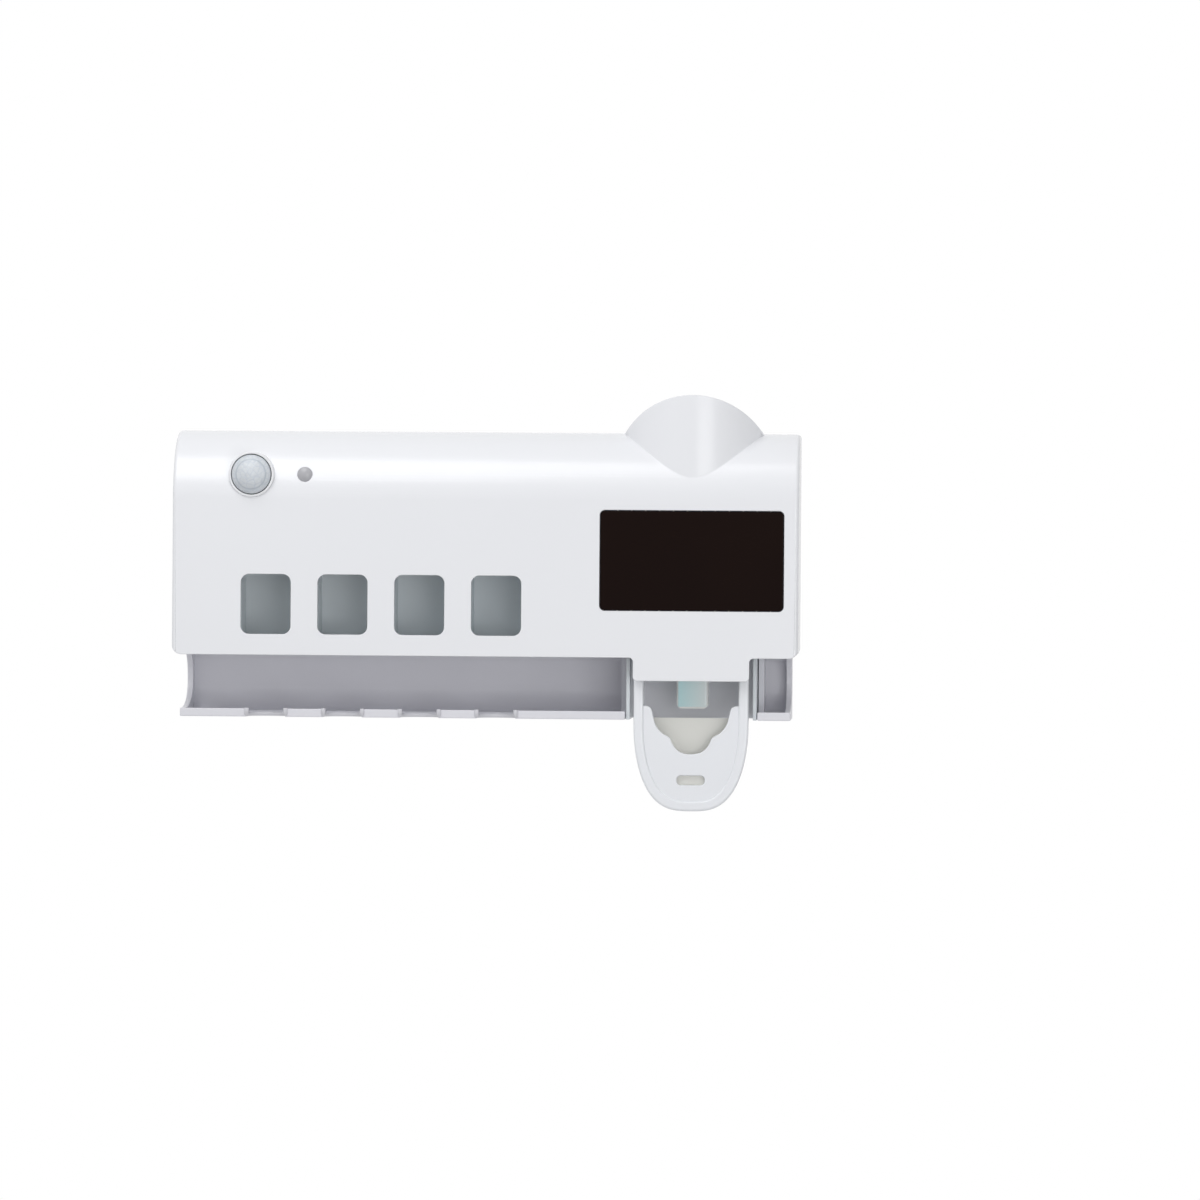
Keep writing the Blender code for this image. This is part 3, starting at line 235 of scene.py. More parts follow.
# Rounds a piece's edges, apart from those in a hidden place
def roundEdges(obj, rounding, hidden=None, reach=meshRules["merge"]):
    width, segments, angle = rounding
    shape = mergedShape(obj.data, reach)
    chosen = []
    for edge in shape.edges:
        middle = (edge.verts[0].co + edge.verts[1].co) / 2
        sharp = len(edge.link_faces) == 2 and edge.calc_face_angle() > radians(angle)
        if sharp and not (hidden and hidden(middle)):
            chosen.append(edge)
    bmesh.ops.bevel(
        shape, geom=chosen, offset=width, segments=segments, profile=0.5, affect="EDGES",
        miter_outer="ARC",
    )
    shape.to_mesh(obj.data)
    shape.free()
    return obj


def evenShading(obj, angle=meshRules["shadeAngle"]):
    obj.data.shade_smooth()
    obj.data.set_sharp_from_angle(angle=radians(angle))
    step = obj.modifiers.new("evenShading", "WEIGHTED_NORMAL")
    step.keep_sharp = True
    step.weight = meshRules["normalWeight"]
    return bakeModifiers(obj)


def softenEdges(obj, rounding, hidden=None, reach=meshRules["merge"]):
    return evenShading(roundEdges(obj, rounding, hidden, reach), rounding[2])


def setPiece(obj, finish, body, slotName, *replaced):
    obj.data.materials.clear()
    obj.data.materials.append(finish)
    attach(obj, body)
    if replaced:
        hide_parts(*replaced)
    return obj


def setNode(nodeName, finish):
    mesh = cadNodes[nodeName].data
    mesh.materials.clear()
    mesh.materials.append(finish)


# A node tree. Inputs go by name or number: another node's output is linked, a plain value is set,
# and a colour is (red, green, blue).
class TreeDesk:
    def __init__(self, tree):
        self.tree = tree

    def feed(self, node, inputs):
        for key, value in inputs.items():
            socket = node.inputs[key]
            if isinstance(value, bpy.types.NodeSocket):
                self.tree.links.new(value, socket)
            else:
                socket.default_value = (*value, 1) if socket.type == "RGBA" else value

    def add(self, kind, inputs=None, **options):
        node = self.tree.nodes.new(kind)
        for key, value in options.items():
            setattr(node, key, value)
        self.feed(node, inputs or {})
        return node

    def join(self, operation, first, second):
        return self.add("ShaderNodeMath", {0: first, 1: second}, operation=operation).outputs[0]


# A Geometry Nodes tree with named inputs, which is run on an object
class ShapeDesk(TreeDesk):
    def __init__(self, name, inputs):
        super().__init__(bpy.data.node_groups.new(name, "GeometryNodeTree"))
        sockets = self.tree.interface
        sockets.new_socket("Geometry", in_out="INPUT", socket_type="NodeSocketGeometry")
        self.identifiers = {}
        for label, kind in inputs.items():
            socket = sockets.new_socket(label, in_out="INPUT", socket_type=kind)
            self.identifiers[label] = socket.identifier
        sockets.new_socket("Geometry", in_out="OUTPUT", socket_type="NodeSocketGeometry")
        self.source = self.add("NodeGroupInput").outputs

    def finishWith(self, geometry):
        real = self.add("GeometryNodeRealizeInstances", {0: geometry}).outputs[0]
        inputs = {"Geometry": real, "Material": self.source["Finish"]}
        painted = self.add("GeometryNodeSetMaterial", inputs)
        self.add("NodeGroupOutput", {0: painted.outputs[0]})

    def run(self, obj, values):
        step = obj.modifiers.new(self.tree.name, "NODES")
        step.node_group = self.tree
        for label, value in values.items():
            step[self.identifiers[label]] = value
        return bakeModifiers(obj)


# The node tree of a finish, around its Principled shader
class FinishDesk(TreeDesk):
    def __init__(self, name):
        self.finish = bpy.data.materials.new(name)
        self.finish.use_nodes = True
        super().__init__(self.finish.node_tree)
        self.shader = self.tree.nodes["Principled BSDF"]
        self.place = self.add("ShaderNodeTexCoord").outputs["Object"]

    def noise(self, scale, detail):
        inputs = {"Vector": self.place, "Scale": scale, "Detail": detail}
        return self.add("ShaderNodeTexNoise", inputs).outputs["Fac"]

    def spread(self, value, low, high, fromLow=0.3, fromHigh=0.7):
        inputs = {"Value": value, "From Min": fromLow, "From Max": fromHigh}
        inputs.update({"To Min": low, "To Max": high})
        return self.add("ShaderNodeMapRange", inputs).outputs["Result"]

    def mixColour(self, share, first, second):
        mix = self.add("ShaderNodeMix", {0: share, 6: first, 7: second}, data_type="RGBA")
        return mix.outputs[2]

    def bump(self, height, depth, before=None):
        inputs = {"Strength": 1.0, "Distance": depth, "Height": height}
        if before:
            inputs["Normal"] = before
        return self.add("ShaderNodeBump", inputs).outputs["Normal"]

    def paint(self, inputs):
        self.feed(self.shader, inputs)
        return self.finish


# Colour that drifts a little, roughness that varies, and a fine moulded grain
mouldedLook = {
    "driftScale": 14, "patchScale": 60, "grainScale": 2600, "grainDepth": 0.000004,
    "waveScale": 55, "waveDepth": 0.000008, "sockets": {},
}


def mouldedFinish(name, settings):
    look = {**mouldedLook, **settings}
    desk = FinishDesk(name)
    drift = desk.spread(desk.noise(look["driftScale"], 3), 0, 1)
    grain = desk.bump(desk.noise(look["grainScale"], 2), look["grainDepth"])
    return desk.paint({
        "Base Color": desk.mixColour(drift, look["colour"], look["shade"]),
        "Roughness": desk.spread(desk.noise(look["patchScale"], 4), *look["roughness"]),
        "Normal": desk.bump(desk.noise(look["waveScale"], 1), look["waveDepth"], grain),
        **look["sockets"],
    })


finishes = {
    "whiteShell": {
        "colour": (0.80, 0.81, 0.84), "shade": (0.793, 0.803, 0.834), "roughness": (0.25, 0.265),
        "waveDepth": 0.000003,
        "sockets": {"Specular IOR Level": 0.5, "Coat Weight": 0.15, "Coat Roughness": 0.12},
    },
    "whiteTrim": {
        "colour": (0.80, 0.81, 0.83), "shade": (0.78, 0.79, 0.81), "roughness": (0.3, 0.38),
    },
    "greyShell": {
        "colour": (0.71, 0.71, 0.755), "shade": (0.69, 0.69, 0.735), "roughness": (0.3, 0.4),
        "driftScale": 30,
    },
    "chamberLiner": {
        "colour": (0.82, 0.86, 0.88), "shade": (0.78, 0.83, 0.86), "roughness": (0.35, 0.45),
    },
    "clearPlastic": {
        "colour": (0.86, 0.90, 0.93), "shade": (0.83, 0.88, 0.92), "roughness": (0.2, 0.28),
        "sockets": {"Transmission Weight": 0.25, "IOR": 1.46},
    },
    "frostedPlastic": {
        "colour": (0.90, 0.915, 0.95), "shade": (0.88, 0.90, 0.94), "roughness": (0.15, 0.2),
        "sockets": {"Transmission Weight": 0.12, "IOR": 1.46},
    },
    "creamPlastic": {
        "colour": (0.76, 0.76, 0.72), "shade": (0.74, 0.74, 0.70), "roughness": (0.3, 0.36),
    },
    "paleSilicone": {
        "colour": (0.80, 0.80, 0.78), "shade": (0.74, 0.74, 0.72), "roughness": (0.55, 0.68),
        "grainDepth": 0.00001,
    },
    "smokedLens": {
        "colour": (0.55, 0.55, 0.58), "shade": (0.48, 0.48, 0.51), "roughness": (0.2, 0.3),
        "sockets": {"Transmission Weight": 0.2},
    },
    "blackResin": {
        "colour": (0.006, 0.002, 0.0015), "shade": (0.008, 0.003, 0.002), "roughness": (0.06, 0.12),
        "sockets": {"Specular IOR Level": 0.06},
    },
    "blackPlastic": {
        "colour": (0.012, 0.012, 0.013), "shade": (0.018, 0.018, 0.019), "roughness": (0.3, 0.42),
    },
    "platedSteel": {
        "colour": (0.66, 0.66, 0.65), "shade": (0.58, 0.58, 0.57), "roughness": (0.22, 0.38),
        "driftScale": 90, "sockets": {"Metallic": 1.0},
    },
    "zincScrew": {
        "colour": (0.52, 0.52, 0.50), "shade": (0.42, 0.42, 0.41), "roughness": (0.3, 0.48),
        "driftScale": 200, "sockets": {"Metallic": 1.0},
    },
    "lampResin": {
        "colour": (0.60, 0.55, 0.86), "shade": (0.56, 0.50, 0.82), "roughness": (0.06, 0.12),
        "sockets": {"Transmission Weight": 0.8, "IOR": 1.5},
    },
    "batteryWrap": {
        "colour": (0.03, 0.10, 0.36), "shade": (0.025, 0.08, 0.30), "roughness": (0.28, 0.4),
        "waveDepth": 0.0001,
    },
    "leadSheath": {
        "colour": (0.30, 0.015, 0.015), "shade": (0.24, 0.012, 0.012), "roughness": (0.4, 0.5),
    },
}
looks = {name: mouldedFinish(name, settings) for name, settings in finishes.items()}

# Foam tape: open cells in its cut edge
foamLook = {
    "colour": (0.62, 0.62, 0.60), "dark": (0.40, 0.40, 0.38), "cellScale": 1400,
    "cellEdge": (0.1, 0.7), "depth": 0.0001, "roughness": 0.9,
}


def foamFinish():
    desk, look = FinishDesk("foamTape"), foamLook
    inputs = {"Vector": desk.place, "Scale": look["cellScale"]}
    cells = desk.add("ShaderNodeTexVoronoi", inputs).outputs["Distance"]
    share = desk.spread(cells, 0, 1, *look["cellEdge"])
    return desk.paint({
        "Base Color": desk.mixColour(share, look["dark"], look["colour"]),
        "Normal": desk.bump(cells, look["depth"]), "Roughness": look["roughness"],
    })


# Circuit board: green mask with copper tracks under it
boardLook = {
    "mask": (0.012, 0.13, 0.04), "track": (0.03, 0.24, 0.08), "pitch": 420, "trackWidth": 0.09,
    "shiftRows": 3, "depth": 0.00002, "patchScale": 80, "roughness": (0.25, 0.4),
}


def boardFinish():
    desk, look = FinishDesk("greenBoard"), boardLook
    inputs = {"Vector": desk.place, "Rotation": (radians(90), 0, 0)}
    upright = desk.add("ShaderNodeMapping", inputs).outputs["Vector"]
    inputs = {"Vector": upright, "Scale": look["pitch"], "Mortar Size": look["trackWidth"]}
    brick = desk.add("ShaderNodeTexBrick", inputs, offset_frequency=look["shiftRows"])
    tracks = brick.outputs["Fac"]
    return desk.paint({
        "Base Color": desk.mixColour(tracks, look["mask"], look["track"]),
        "Normal": desk.bump(tracks, look["depth"]),
        "Roughness": desk.spread(desk.noise(look["patchScale"], 3), *look["roughness"]),
    })


# Solar cell: dark blue wafer crossed by thin silver lines
cellLook = {
    "wafer": (0.010, 0.012, 0.045), "line": (0.45, 0.45, 0.43), "scale": 62, "lineFrom": 0.95,
    "patchScale": 300, "roughness": (0.2, 0.35),
}


def cellFinish():
    desk, look = FinishDesk("solarWafer"), cellLook
    inputs = {"Vector": desk.place, "Scale": look["scale"]}
    bands = desk.add("ShaderNodeTexWave", inputs, bands_direction="X").outputs["Fac"]
    share = desk.spread(bands, 0, 1, look["lineFrom"], 1.0)
    return desk.paint({
        "Base Color": desk.mixColour(share, look["wafer"], look["line"]),
        "Roughness": desk.spread(desk.noise(look["patchScale"], 3), *look["roughness"]),
    })


looks.update({"foamTape": foamFinish(), "greenBoard": boardFinish(), "solarWafer": cellFinish()})
print("finishes:", len(looks))

# Front cover
coverShape = {
    "halfWidth": 0.114, "top": 0.0522, "low": -0.0296, "front": -0.045, "back": -0.0041,
    "wall": 0.0022, "topRadius": 0.025, "topSteps": 34, "endRadius": 0.0014, "endSteps": 6,
    "endAngle": 40, "cornerRadius": 0.0035, "cornerSteps": 16, "edge": (0.00032, 3, 17),
    "merge": 0.00006,
}
windowShape = {
    "places": (-0.0798, -0.0518, -0.0238, 0.0042), "low": -0.0220, "high": -0.0002,
    "width": 0.0182, "radius": 0.003, "steps": 12,
}
solarShape = {
    "low": -0.0123, "high": 0.0237, "width": 0.0664, "radius": 0.0016, "gap": 0.0003,
    "front": -0.0447, "back": -0.0428, "edge": (0.00025, 3, 50), "steps": 8,
}
collarShape = {
    "axisDepth": -0.0167, "radius": 0.0267, "foot": 0.0302, "peak": 0.0660, "archRadius": 0.030,
    "backLimit": -0.0075, "thinFrom": 0.0235, "steps": 121, "archSides": 240,
}
apronShape = {"halfWidth": 0.02115, "drop": 0.0084, "fillet": 0.0015, "filletSteps": 8}
sensorShape = {
    "place": -0.0853, "height": 0.0361, "bezelRadius": 0.0083, "indicator": -0.0659,
    "indicatorRadius": 0.00275, "press": 0.0001, "holeBack": -0.0340, "holeSides": 96,
    "foot": -0.0356,
}
socketOpening = ((-0.115, -0.0134, 0.03155), (-0.1083, -0.0100, 0.03995))

# Which of the cover's edges stay sharp: behind a depth, by the collar's foot, and inside the walls
coverPlain = {"behind": -0.0045, "footDrop": 0.0012, "skin": 0.00002}


# The centre of the cover's rounded top, as (Y, Z)
def topCentre():
    shape = coverShape
    return shape["front"] + shape["topRadius"], shape["top"] - shape["topRadius"]


def coverOutline(inset, rear, low):
    shape = coverShape
    radius = shape["topRadius"] - inset
    points = [(rear, shape["top"] - inset)]
    points += arcPoints(*topCentre(), radius, 90, 180, shape["topSteps"])
    return points + [(shape["front"] + inset, low), (rear, low)]


# All that is below the cover's lower edge, which has rounded ends and an apron with fillets
def lowerCutter():
    cover, apron = coverShape, apronShape
    low, radius, fillet = cover["low"], cover["cornerRadius"], apron["fillet"]
    edge, far = cover["halfWidth"] - radius, cover["halfWidth"] + 2 * spare
    left, right = tubePlace - apron["halfWidth"], tubePlace + apron["halfWidth"]
    corner, apronLow = low + radius, low - apron["drop"]
    steps, under = cover["cornerSteps"], apronLow - 6 * spare
    outline = [(-far, corner)] + arcPoints(-edge, corner, radius, 180, 270, steps)
    for across, up, start, end in (
        (left - fillet, low - fillet, 90, 0), (left + fillet, apronLow + fillet, 180, 270),
        (right - fillet, apronLow + fillet, 270, 360), (right + fillet, low - fillet, 180, 90),
    ):
        outline += arcPoints(across, up, fillet, start, end, apron["filletSteps"])
    outline += arcPoints(edge, corner, radius, 270, 360, steps) + [(far, corner)]
    outline += [(far, under), (-far, under)]
    return outlineSolid("lowerCutter", outline, "Y", cover["front"] - spare, 3 * spare)


def collarGuard():
    shape = collarShape
    halfDisc = arcPoints(tubePlace, shape["axisDepth"], shape["radius"], 180, 360, shape["steps"])
    guard = outlineSolid("guard", halfDisc, "Z", shape["foot"], shape["peak"] + spare)
    height = shape["peak"] - shape["archRadius"]
    near, far = (tubePlace, coverShape["front"] - spare, height), (tubePlace, spare, height)
    return keepCommon(guard, rodSolid("arch", shape["archRadius"], near, far, shape["archSides"]))


def tubeOpening():
    shape = collarShape
    radius, depth = shape["radius"] - coverShape["wall"], shape["axisDepth"]
    lean = degrees(asin((shape["backLimit"] - depth) / radius))
    outline = arcPoints(tubePlace, depth, radius, 180 - lean, 360 + lean, shape["steps"])
    low, high = shape["foot"] - spare, shape["peak"] + spare
    return outlineSolid("tubeOpening", outline, "Z", low, high)


def insideCover(point):
    shape, collar = coverShape, collarShape
    wall = shape["wall"] - coverPlain["skin"]
    beside = collar["thinFrom"] < abs(point.x - tubePlace) < collar["radius"] + spare
    if point.y > coverPlain["behind"]:
        return True
    if beside and point.z > shape["top"] - coverPlain["footDrop"]:
        return True
    if abs(point.x) > shape["halfWidth"] - wall or point.y < shape["front"] + wall:
        return False
    centreY, centreZ = topCentre()
    if point.y < centreY and point.z > centreZ:
        reach = (point.y - centreY) ** 2 + (point.z - centreZ) ** 2
        return reach < (shape["topRadius"] - wall) ** 2
    return point.z < shape["top"] - wall


# Cutters for the brush windows, the solar window and the two sensor holes
def coverOpenings():
    near, far = coverShape["front"] - spare, coverShape["front"] + coverShape["wall"] + spare
    window, solar, sensor = windowShape, solarShape, sensorShape
    middle, height = span(window["low"], window["high"])
    size = window["width"], height, window["radius"], window["steps"]
    outlines = [roundedBox(place, middle, *size) for place in window["places"]]
    middle, height = span(solar["low"], solar["high"])
    gap = solar["gap"]
    size = solar["width"] + 2 * gap, height + 2 * gap, solar["radius"] + gap, solar["steps"]
    outlines.append(roundedBox(tubePlace, middle, *size))
    cutters = [outlineSolid("window", outline, "Y", near, far) for outline in outlines]
    height, back, sides = sensor["height"], sensor["holeBack"], sensor["holeSides"]
    for key, radius in (("place", "bezelRadius"), ("indicator", "indicatorRadius")):
        ends = (sensor[key], near, height), (sensor[key], back, height)
        cutters.append(rodSolid("hole", sensor[radius] - sensor["press"], *ends, sides))
    return cutters


def frontCover():
    shape = coverShape
    half, wall = shape["halfWidth"], shape["wall"]
    under = shape["low"] - apronShape["drop"] - 4 * spare
    cover = outlineSolid("frontCover", coverOutline(0, spare, under), "X", -half, half)
    ends = cover.modifiers.new("ends", "BEVEL")
    ends.width, ends.segments = shape["endRadius"], shape["endSteps"]
    ends.limit_method, ends.angle_limit = "ANGLE", radians(shape["endAngle"])
    bakeModifiers(cover)
    outline = coverOutline(wall, 2 * spare, under - spare)
    cutAway(cover, outlineSolid("hollow", outline, "X", wall - half, half - wall), lowerCutter())
    corner = (half + 2 * spare, 4 * spare, shape["top"] + 2 * spare)
    cutAway(cover, blockSolid("rearCut", (-corner[0], shape["back"], under), corner))
    joinTo(cover, collarGuard())
    for cutter in (tubeOpening(), *coverOpenings(), blockSolid("socketOpening", *socketOpening)):
        cutAway(cover, cutter)
    softenEdges(cover, shape["edge"], insideCover, shape["merge"])
    return setPiece(cover, looks["whiteShell"], "holder", "white_shell", "front_cover")


frontCover()
print("front cover done")

# Rear housing
housingShape = {
    "halfWidth": 0.1113, "wall": 0.002, "back": -0.0041, "bottom": -0.0522, "top": 0.0497,
    "flange": 0.010, "ledgeLow": -0.0261, "ledgeHigh": -0.0243, "ledgeFront": -0.0424,
    "shelfFront": -0.040, "lipHeight": 0.0030, "lipWall": 0.0016, "lowerRadius": 0.008,
    "lowerSteps": 20, "upperRadius": 0.006, "upperSteps": 16, "hollow": 0.029, "power": 2.4,
    "hollowSteps": 48, "edge": (0.0003, 3, 30), "merge": 0.00004, "skin": 0.0001,
    "endRim": 0.0003,
}
baySize = {"half": 0.0241, "top": 0.0140, "railDepth": -0.022}
keyholeShape = {
    "place": 0.035, "height": 0.0044, "slot": 0.0034, "wide": 0.0064, "high": 0.020,
    "entry": 0.006,
}
notchShape = {
    "width": 0.0138, "depth": 0.014, "steps": 32, "bead": 0.0008, "beadSteps": 40,
    "beadSides": 14, "sunk": 0.0002,
}
headSeats = {
    "places": (
        (-0.104, 0.0140), (-0.104, -0.0200), (0.0350, 0.0400),
        (0.0350, -0.0200), (0.1053, 0.0400), (0.1053, -0.0200),
    ),
    "radius": 0.0029, "floor": -0.0053, "sides": 40,
}


def housingOutline():
    shape = housingShape
    back, bottom, top, wall = shape["back"], shape["bottom"], shape["top"], shape["wall"]
    inside, shelfTop, shelfFront = back - wall, bottom + wall, shape["shelfFront"]
    lipTop, lipBack = bottom + shape["lipHeight"], shelfFront + shape["lipWall"]
    lower, upper = shape["lowerRadius"], shape["upperRadius"]
    flangeFront, ledgeFront = back - shape["flange"], shape["ledgeFront"]
    outline = [(back, bottom), (shelfFront, bottom), (shelfFront, lipTop)]
    outline += [(lipBack, lipTop), (lipBack, shelfTop)]
    low, high, steps = shape["ledgeLow"], shape["ledgeHigh"], shape["lowerSteps"]
    outline += arcPoints(inside - lower, shelfTop + lower, lower, 270, 360, steps)
    outline += arcPoints(inside - upper, low - upper, upper, 0, 90, shape["upperSteps"])
    outline += [(ledgeFront, low), (ledgeFront, high), (inside, high)]
    outline += [(inside, top - wall), (flangeFront, top - wall)]
    return outline + [(flangeFront, top), (back, top)]


# An end wall, whose front edge is hollowed between the ledge and the lip
def endWall(side):
    shape = housingShape
    lipTop = shape["bottom"] + shape["lipHeight"]
    middle, half = (lipTop + shape["ledgeLow"]) / 2, (shape["ledgeLow"] - lipTop) / 2
    front, edge, back = shape["shelfFront"], shape["ledgeFront"], shape["back"]
    outline = [(back, shape["bottom"]), (front, shape["bottom"])]
    for index in range(shape["hollowSteps"] + 1):
        share = -cos(pi * index / shape["hollowSteps"])
        depth = (1 - abs(share) ** shape["power"]) ** (1 / shape["power"])
        along = front + (edge - front) * (share + 1) / 2
        outline.append((along + shape["hollow"] * depth, middle + half * share))
    outline += [(edge, shape["ledgeHigh"]), (back - shape["flange"], shape["ledgeHigh"])]
    outline += [(back - shape["flange"], shape["top"]), (back, shape["top"])]
    inner, outer = side * (shape["halfWidth"] - shape["wall"]), side * shape["halfWidth"]
    return outlineSolid("endWall", outline, "X", min(inner, outer), max(inner, outer))


# A keyhole: the narrow slot above and the entry for the hook's head below
def keyholeCutters(side):
    shape = keyholeShape
    place, entry, height = side * shape["place"], shape["entry"], shape["height"]
    near = housingShape["back"] - housingShape["wall"] - spare
    far = housingShape["back"] + spare
    return [
        blockSolid("keyhole", (place - half, near, low), (place + half, far, high))
        for half, low, high in (
            (shape["slot"], entry, shape["high"] + height),
            (shape["wide"], entry - height, entry + height),
        )
    ]


def notchOutline(place):
    half, shelfFront = notchShape["width"] / 2, housingShape["shelfFront"]
    centreY, front = shelfFront + notchShape["depth"] - half, shelfFront - spare
    arc = arcPoints(place, centreY, half, 0, 180, notchShape["steps"])
    return [(place + half, front)] + arc + [(place - half, front)]


# Edges between the end walls stay sharp, apart from those of the shelf and its lip
def insideHousing(point):
    shape = housingShape
    inside = shape["halfWidth"] - shape["wall"] + shape["skin"]
    overLip = point.z > shape["bottom"] + shape["lipHeight"] + shape["skin"]
    return abs(point.x) < inside and (overLip or abs(point.x) > inside - shape["endRim"])


def rearShell():
    shape, front = housingShape, coverShape["front"]
    bottom, inside, wall = shape["bottom"], shape["back"] - shape["wall"], shape["wall"]
    inner, lipHigh = shape["halfWidth"] - wall / 2, bottom + shape["lipHeight"] + spare
    shell = outlineSolid("rearShell", housingOutline(), "X", -inner, inner)
    rails = []
    for side in (-1, 1):
        ends = sorted(tubePlace + side * (baySize["half"] + along) for along in (-spare, wall))
        low = (ends[0], baySize["railDepth"], bottom)
        rails.append(blockSolid("rail", low, (ends[1], shape["back"] - wall / 2, baySize["top"])))
    joinTo(shell, endWall(-1), endWall(1), *rails)
    left, right = tubePlace - baySize["half"], tubePlace + baySize["half"]
    high = (right, inside, baySize["top"] + spare)
    cutAway(shell, blockSolid("bay", (left, front, bottom - spare), high))
    left, right = tubePlace - collarShape["radius"], tubePlace + collarShape["radius"]
    low = (left, front, shape["top"] - wall - spare)
    high = (right, collarShape["backLimit"], coverShape["top"])
    cutAway(shell, blockSolid("tubeSpace", low, high))
    cutAway(shell, *keyholeCutters(-1), *keyholeCutters(1))
    for place in windowShape["places"]:
        cutAway(shell, outlineSolid("notch", notchOutline(place), "Z", bottom - spare, lipHigh))
    for place, height in headSeats["places"]:
        ends = (place, 0, height), (place, headSeats["floor"], height)
        cutAway(shell, rodSolid("headSeat", headSeats["radius"], *ends, headSeats["sides"]))
    cutAway(shell, blockSolid("socketOpening", *socketOpening))
    softenEdges(shell, shape["edge"], insideHousing, shape["merge"])
    return setPiece(shell, looks["greyShell"], "holder", "grey_shell", "rear_housing")


rearShell()
print("rear housing done")

# Raised beads around the brush notches
beadTree = ShapeDesk("notchBeads", {
    "Bead Radius": "NodeSocketFloat", "Sides": "NodeSocketInt", "Finish": "NodeSocketMaterial",
})


def growBeadTree():
    desk = beadTree
    path = desk.add("GeometryNodeMeshToCurve", {0: desk.source["Geometry"]}).outputs[0]
    inputs = {"Resolution": desk.source["Sides"], "Radius": desk.source["Bead Radius"]}
    ring = desk.add("GeometryNodeCurvePrimitiveCircle", inputs).outputs[0]
    inputs = {"Curve": path, "Profile Curve": ring, "Fill Caps": True}
    desk.finishWith(desk.add("GeometryNodeCurveToMesh", inputs).outputs[0])


def notchBeads():
    shape, notch = housingShape, notchShape
    height = shape["bottom"] + shape["wall"] / 2
    lipHigh = shape["bottom"] + shape["lipHeight"] + notch["sunk"]
    half, front = notch["width"] / 2 + notch["sunk"], shape["shelfFront"] - notch["sunk"]
    centreY = shape["shelfFront"] + notch["depth"] - notch["width"] / 2
    paths = []
    for place in windowShape["places"]:
        arc = arcPoints(place, centreY, half, 0, 180, notch["beadSteps"])
        arc = [(x, y, height) for x, y in arc]
        right = [(place + half, front, lipHigh), (place + half, front, height)]
        left = [(place - half, front, height), (place - half, front, lipHigh)]
        paths.append(right + arc + left)
    beads = pathObject("notchBeads", paths)
    values = {"Bead Radius": notch["bead"], "Sides": notch["beadSides"]}
    beadTree.run(beads, {**values, "Finish": looks["greyShell"]})
    beads.data.shade_smooth()
    return setPiece(beads, looks["greyShell"], "holder", "grey_shell")


growBeadTree()
notchBeads()
print("notch beads done")

# Push lever
leverShape = {
    "halfWidth": 0.0209, "arm": 0.0036, "front": -0.0415, "frontHigh": -0.0342,
    "rimBack": -0.0325, "rimHigh": -0.0442, "low": -0.0853, "straight": -0.0537,
    "sideSteps": 40, "hingeY": -0.030, "hingeZ": -0.022, "hub": 0.0055, "hubSteps": 24,
    "stub": 0.0022, "stubReach": 0.02305, "stubSides": 40, "fingerHigh": -0.0238,
    "fingerThick": 0.0032, "fingerReach": -0.019, "sideReach": 0.03, "edge": (0.0009, 4, 32),
}
panelShape = {
    "front": -0.0407, "back": -0.0389, "notchHigh": -0.0470, "notchDepth": 0.0176,
    "notchHalf": 0.0169, "notchSteps": 5, "slotHeight": -0.0741, "slotWidth": 0.0102,
    "slotTall": 0.0035, "slotRadius": 0.0016, "edge": (0.0004, 3, 50),
}
leverBackShape = {
    "wall": 0.0014, "high": -0.0515, "inset": 0.0001, "padEdge": 0.001, "padGap": 0.0002,
    "padRadius": 0.0024, "edge": (0.0001, 2, 50),
}
# Half of the notch's line, as shares of its half width and depth
notchShares = [
    (1.0, 0.0), (0.93, 0.01), (0.86, 0.06), (0.82, 0.2), (0.77, 0.38), (0.67, 0.52), (0.58, 0.59),
    (0.46, 0.66), (0.4, 0.78), (0.33, 0.88), (0.24, 0.95), (0.12, 0.99), (0.0, 1.0),
]


# Half of the lever's rounded lower outline, as (distance from its middle, height)
def leverSide(inset):
    shape = leverShape
    length = shape["straight"] - shape["low"] - inset
    points = []
    for index in range(shape["sideSteps"] + 1):
        share = sin(pi / 2 * index / shape["sideSteps"])
        across = (shape["halfWidth"] - inset) * max(1 - share ** 2, 0) ** (1 / 3)
        points.append((across, shape["straight"] - length * share))
    return points


def mirrored(halfOutline):
    left = [(tubePlace - across, height) for across, height in halfOutline]
    right = [(tubePlace + across, height) for across, height in halfOutline[::-1] if across > 0]
    return left + right


# A smooth curve that passes through each point
def smoothLine(points, steps):
    line = []
    padded = [points[0]] + points + [points[-1]]
    for ends in zip(padded, padded[1:], padded[2:], padded[3:]):
        for index in range(steps):
            share = index / steps
            square, cube = share ** 2, share ** 3
            weights = (
                -cube + 2 * square - share, 3 * cube - 5 * square + 2,
                -3 * cube + 4 * square + share, cube - square,
            )
            line.append(tuple(
                sum(weight * value for weight, value in zip(weights, values)) / 2
                for values in zip(*ends)
            ))
    return line + [points[-1]]


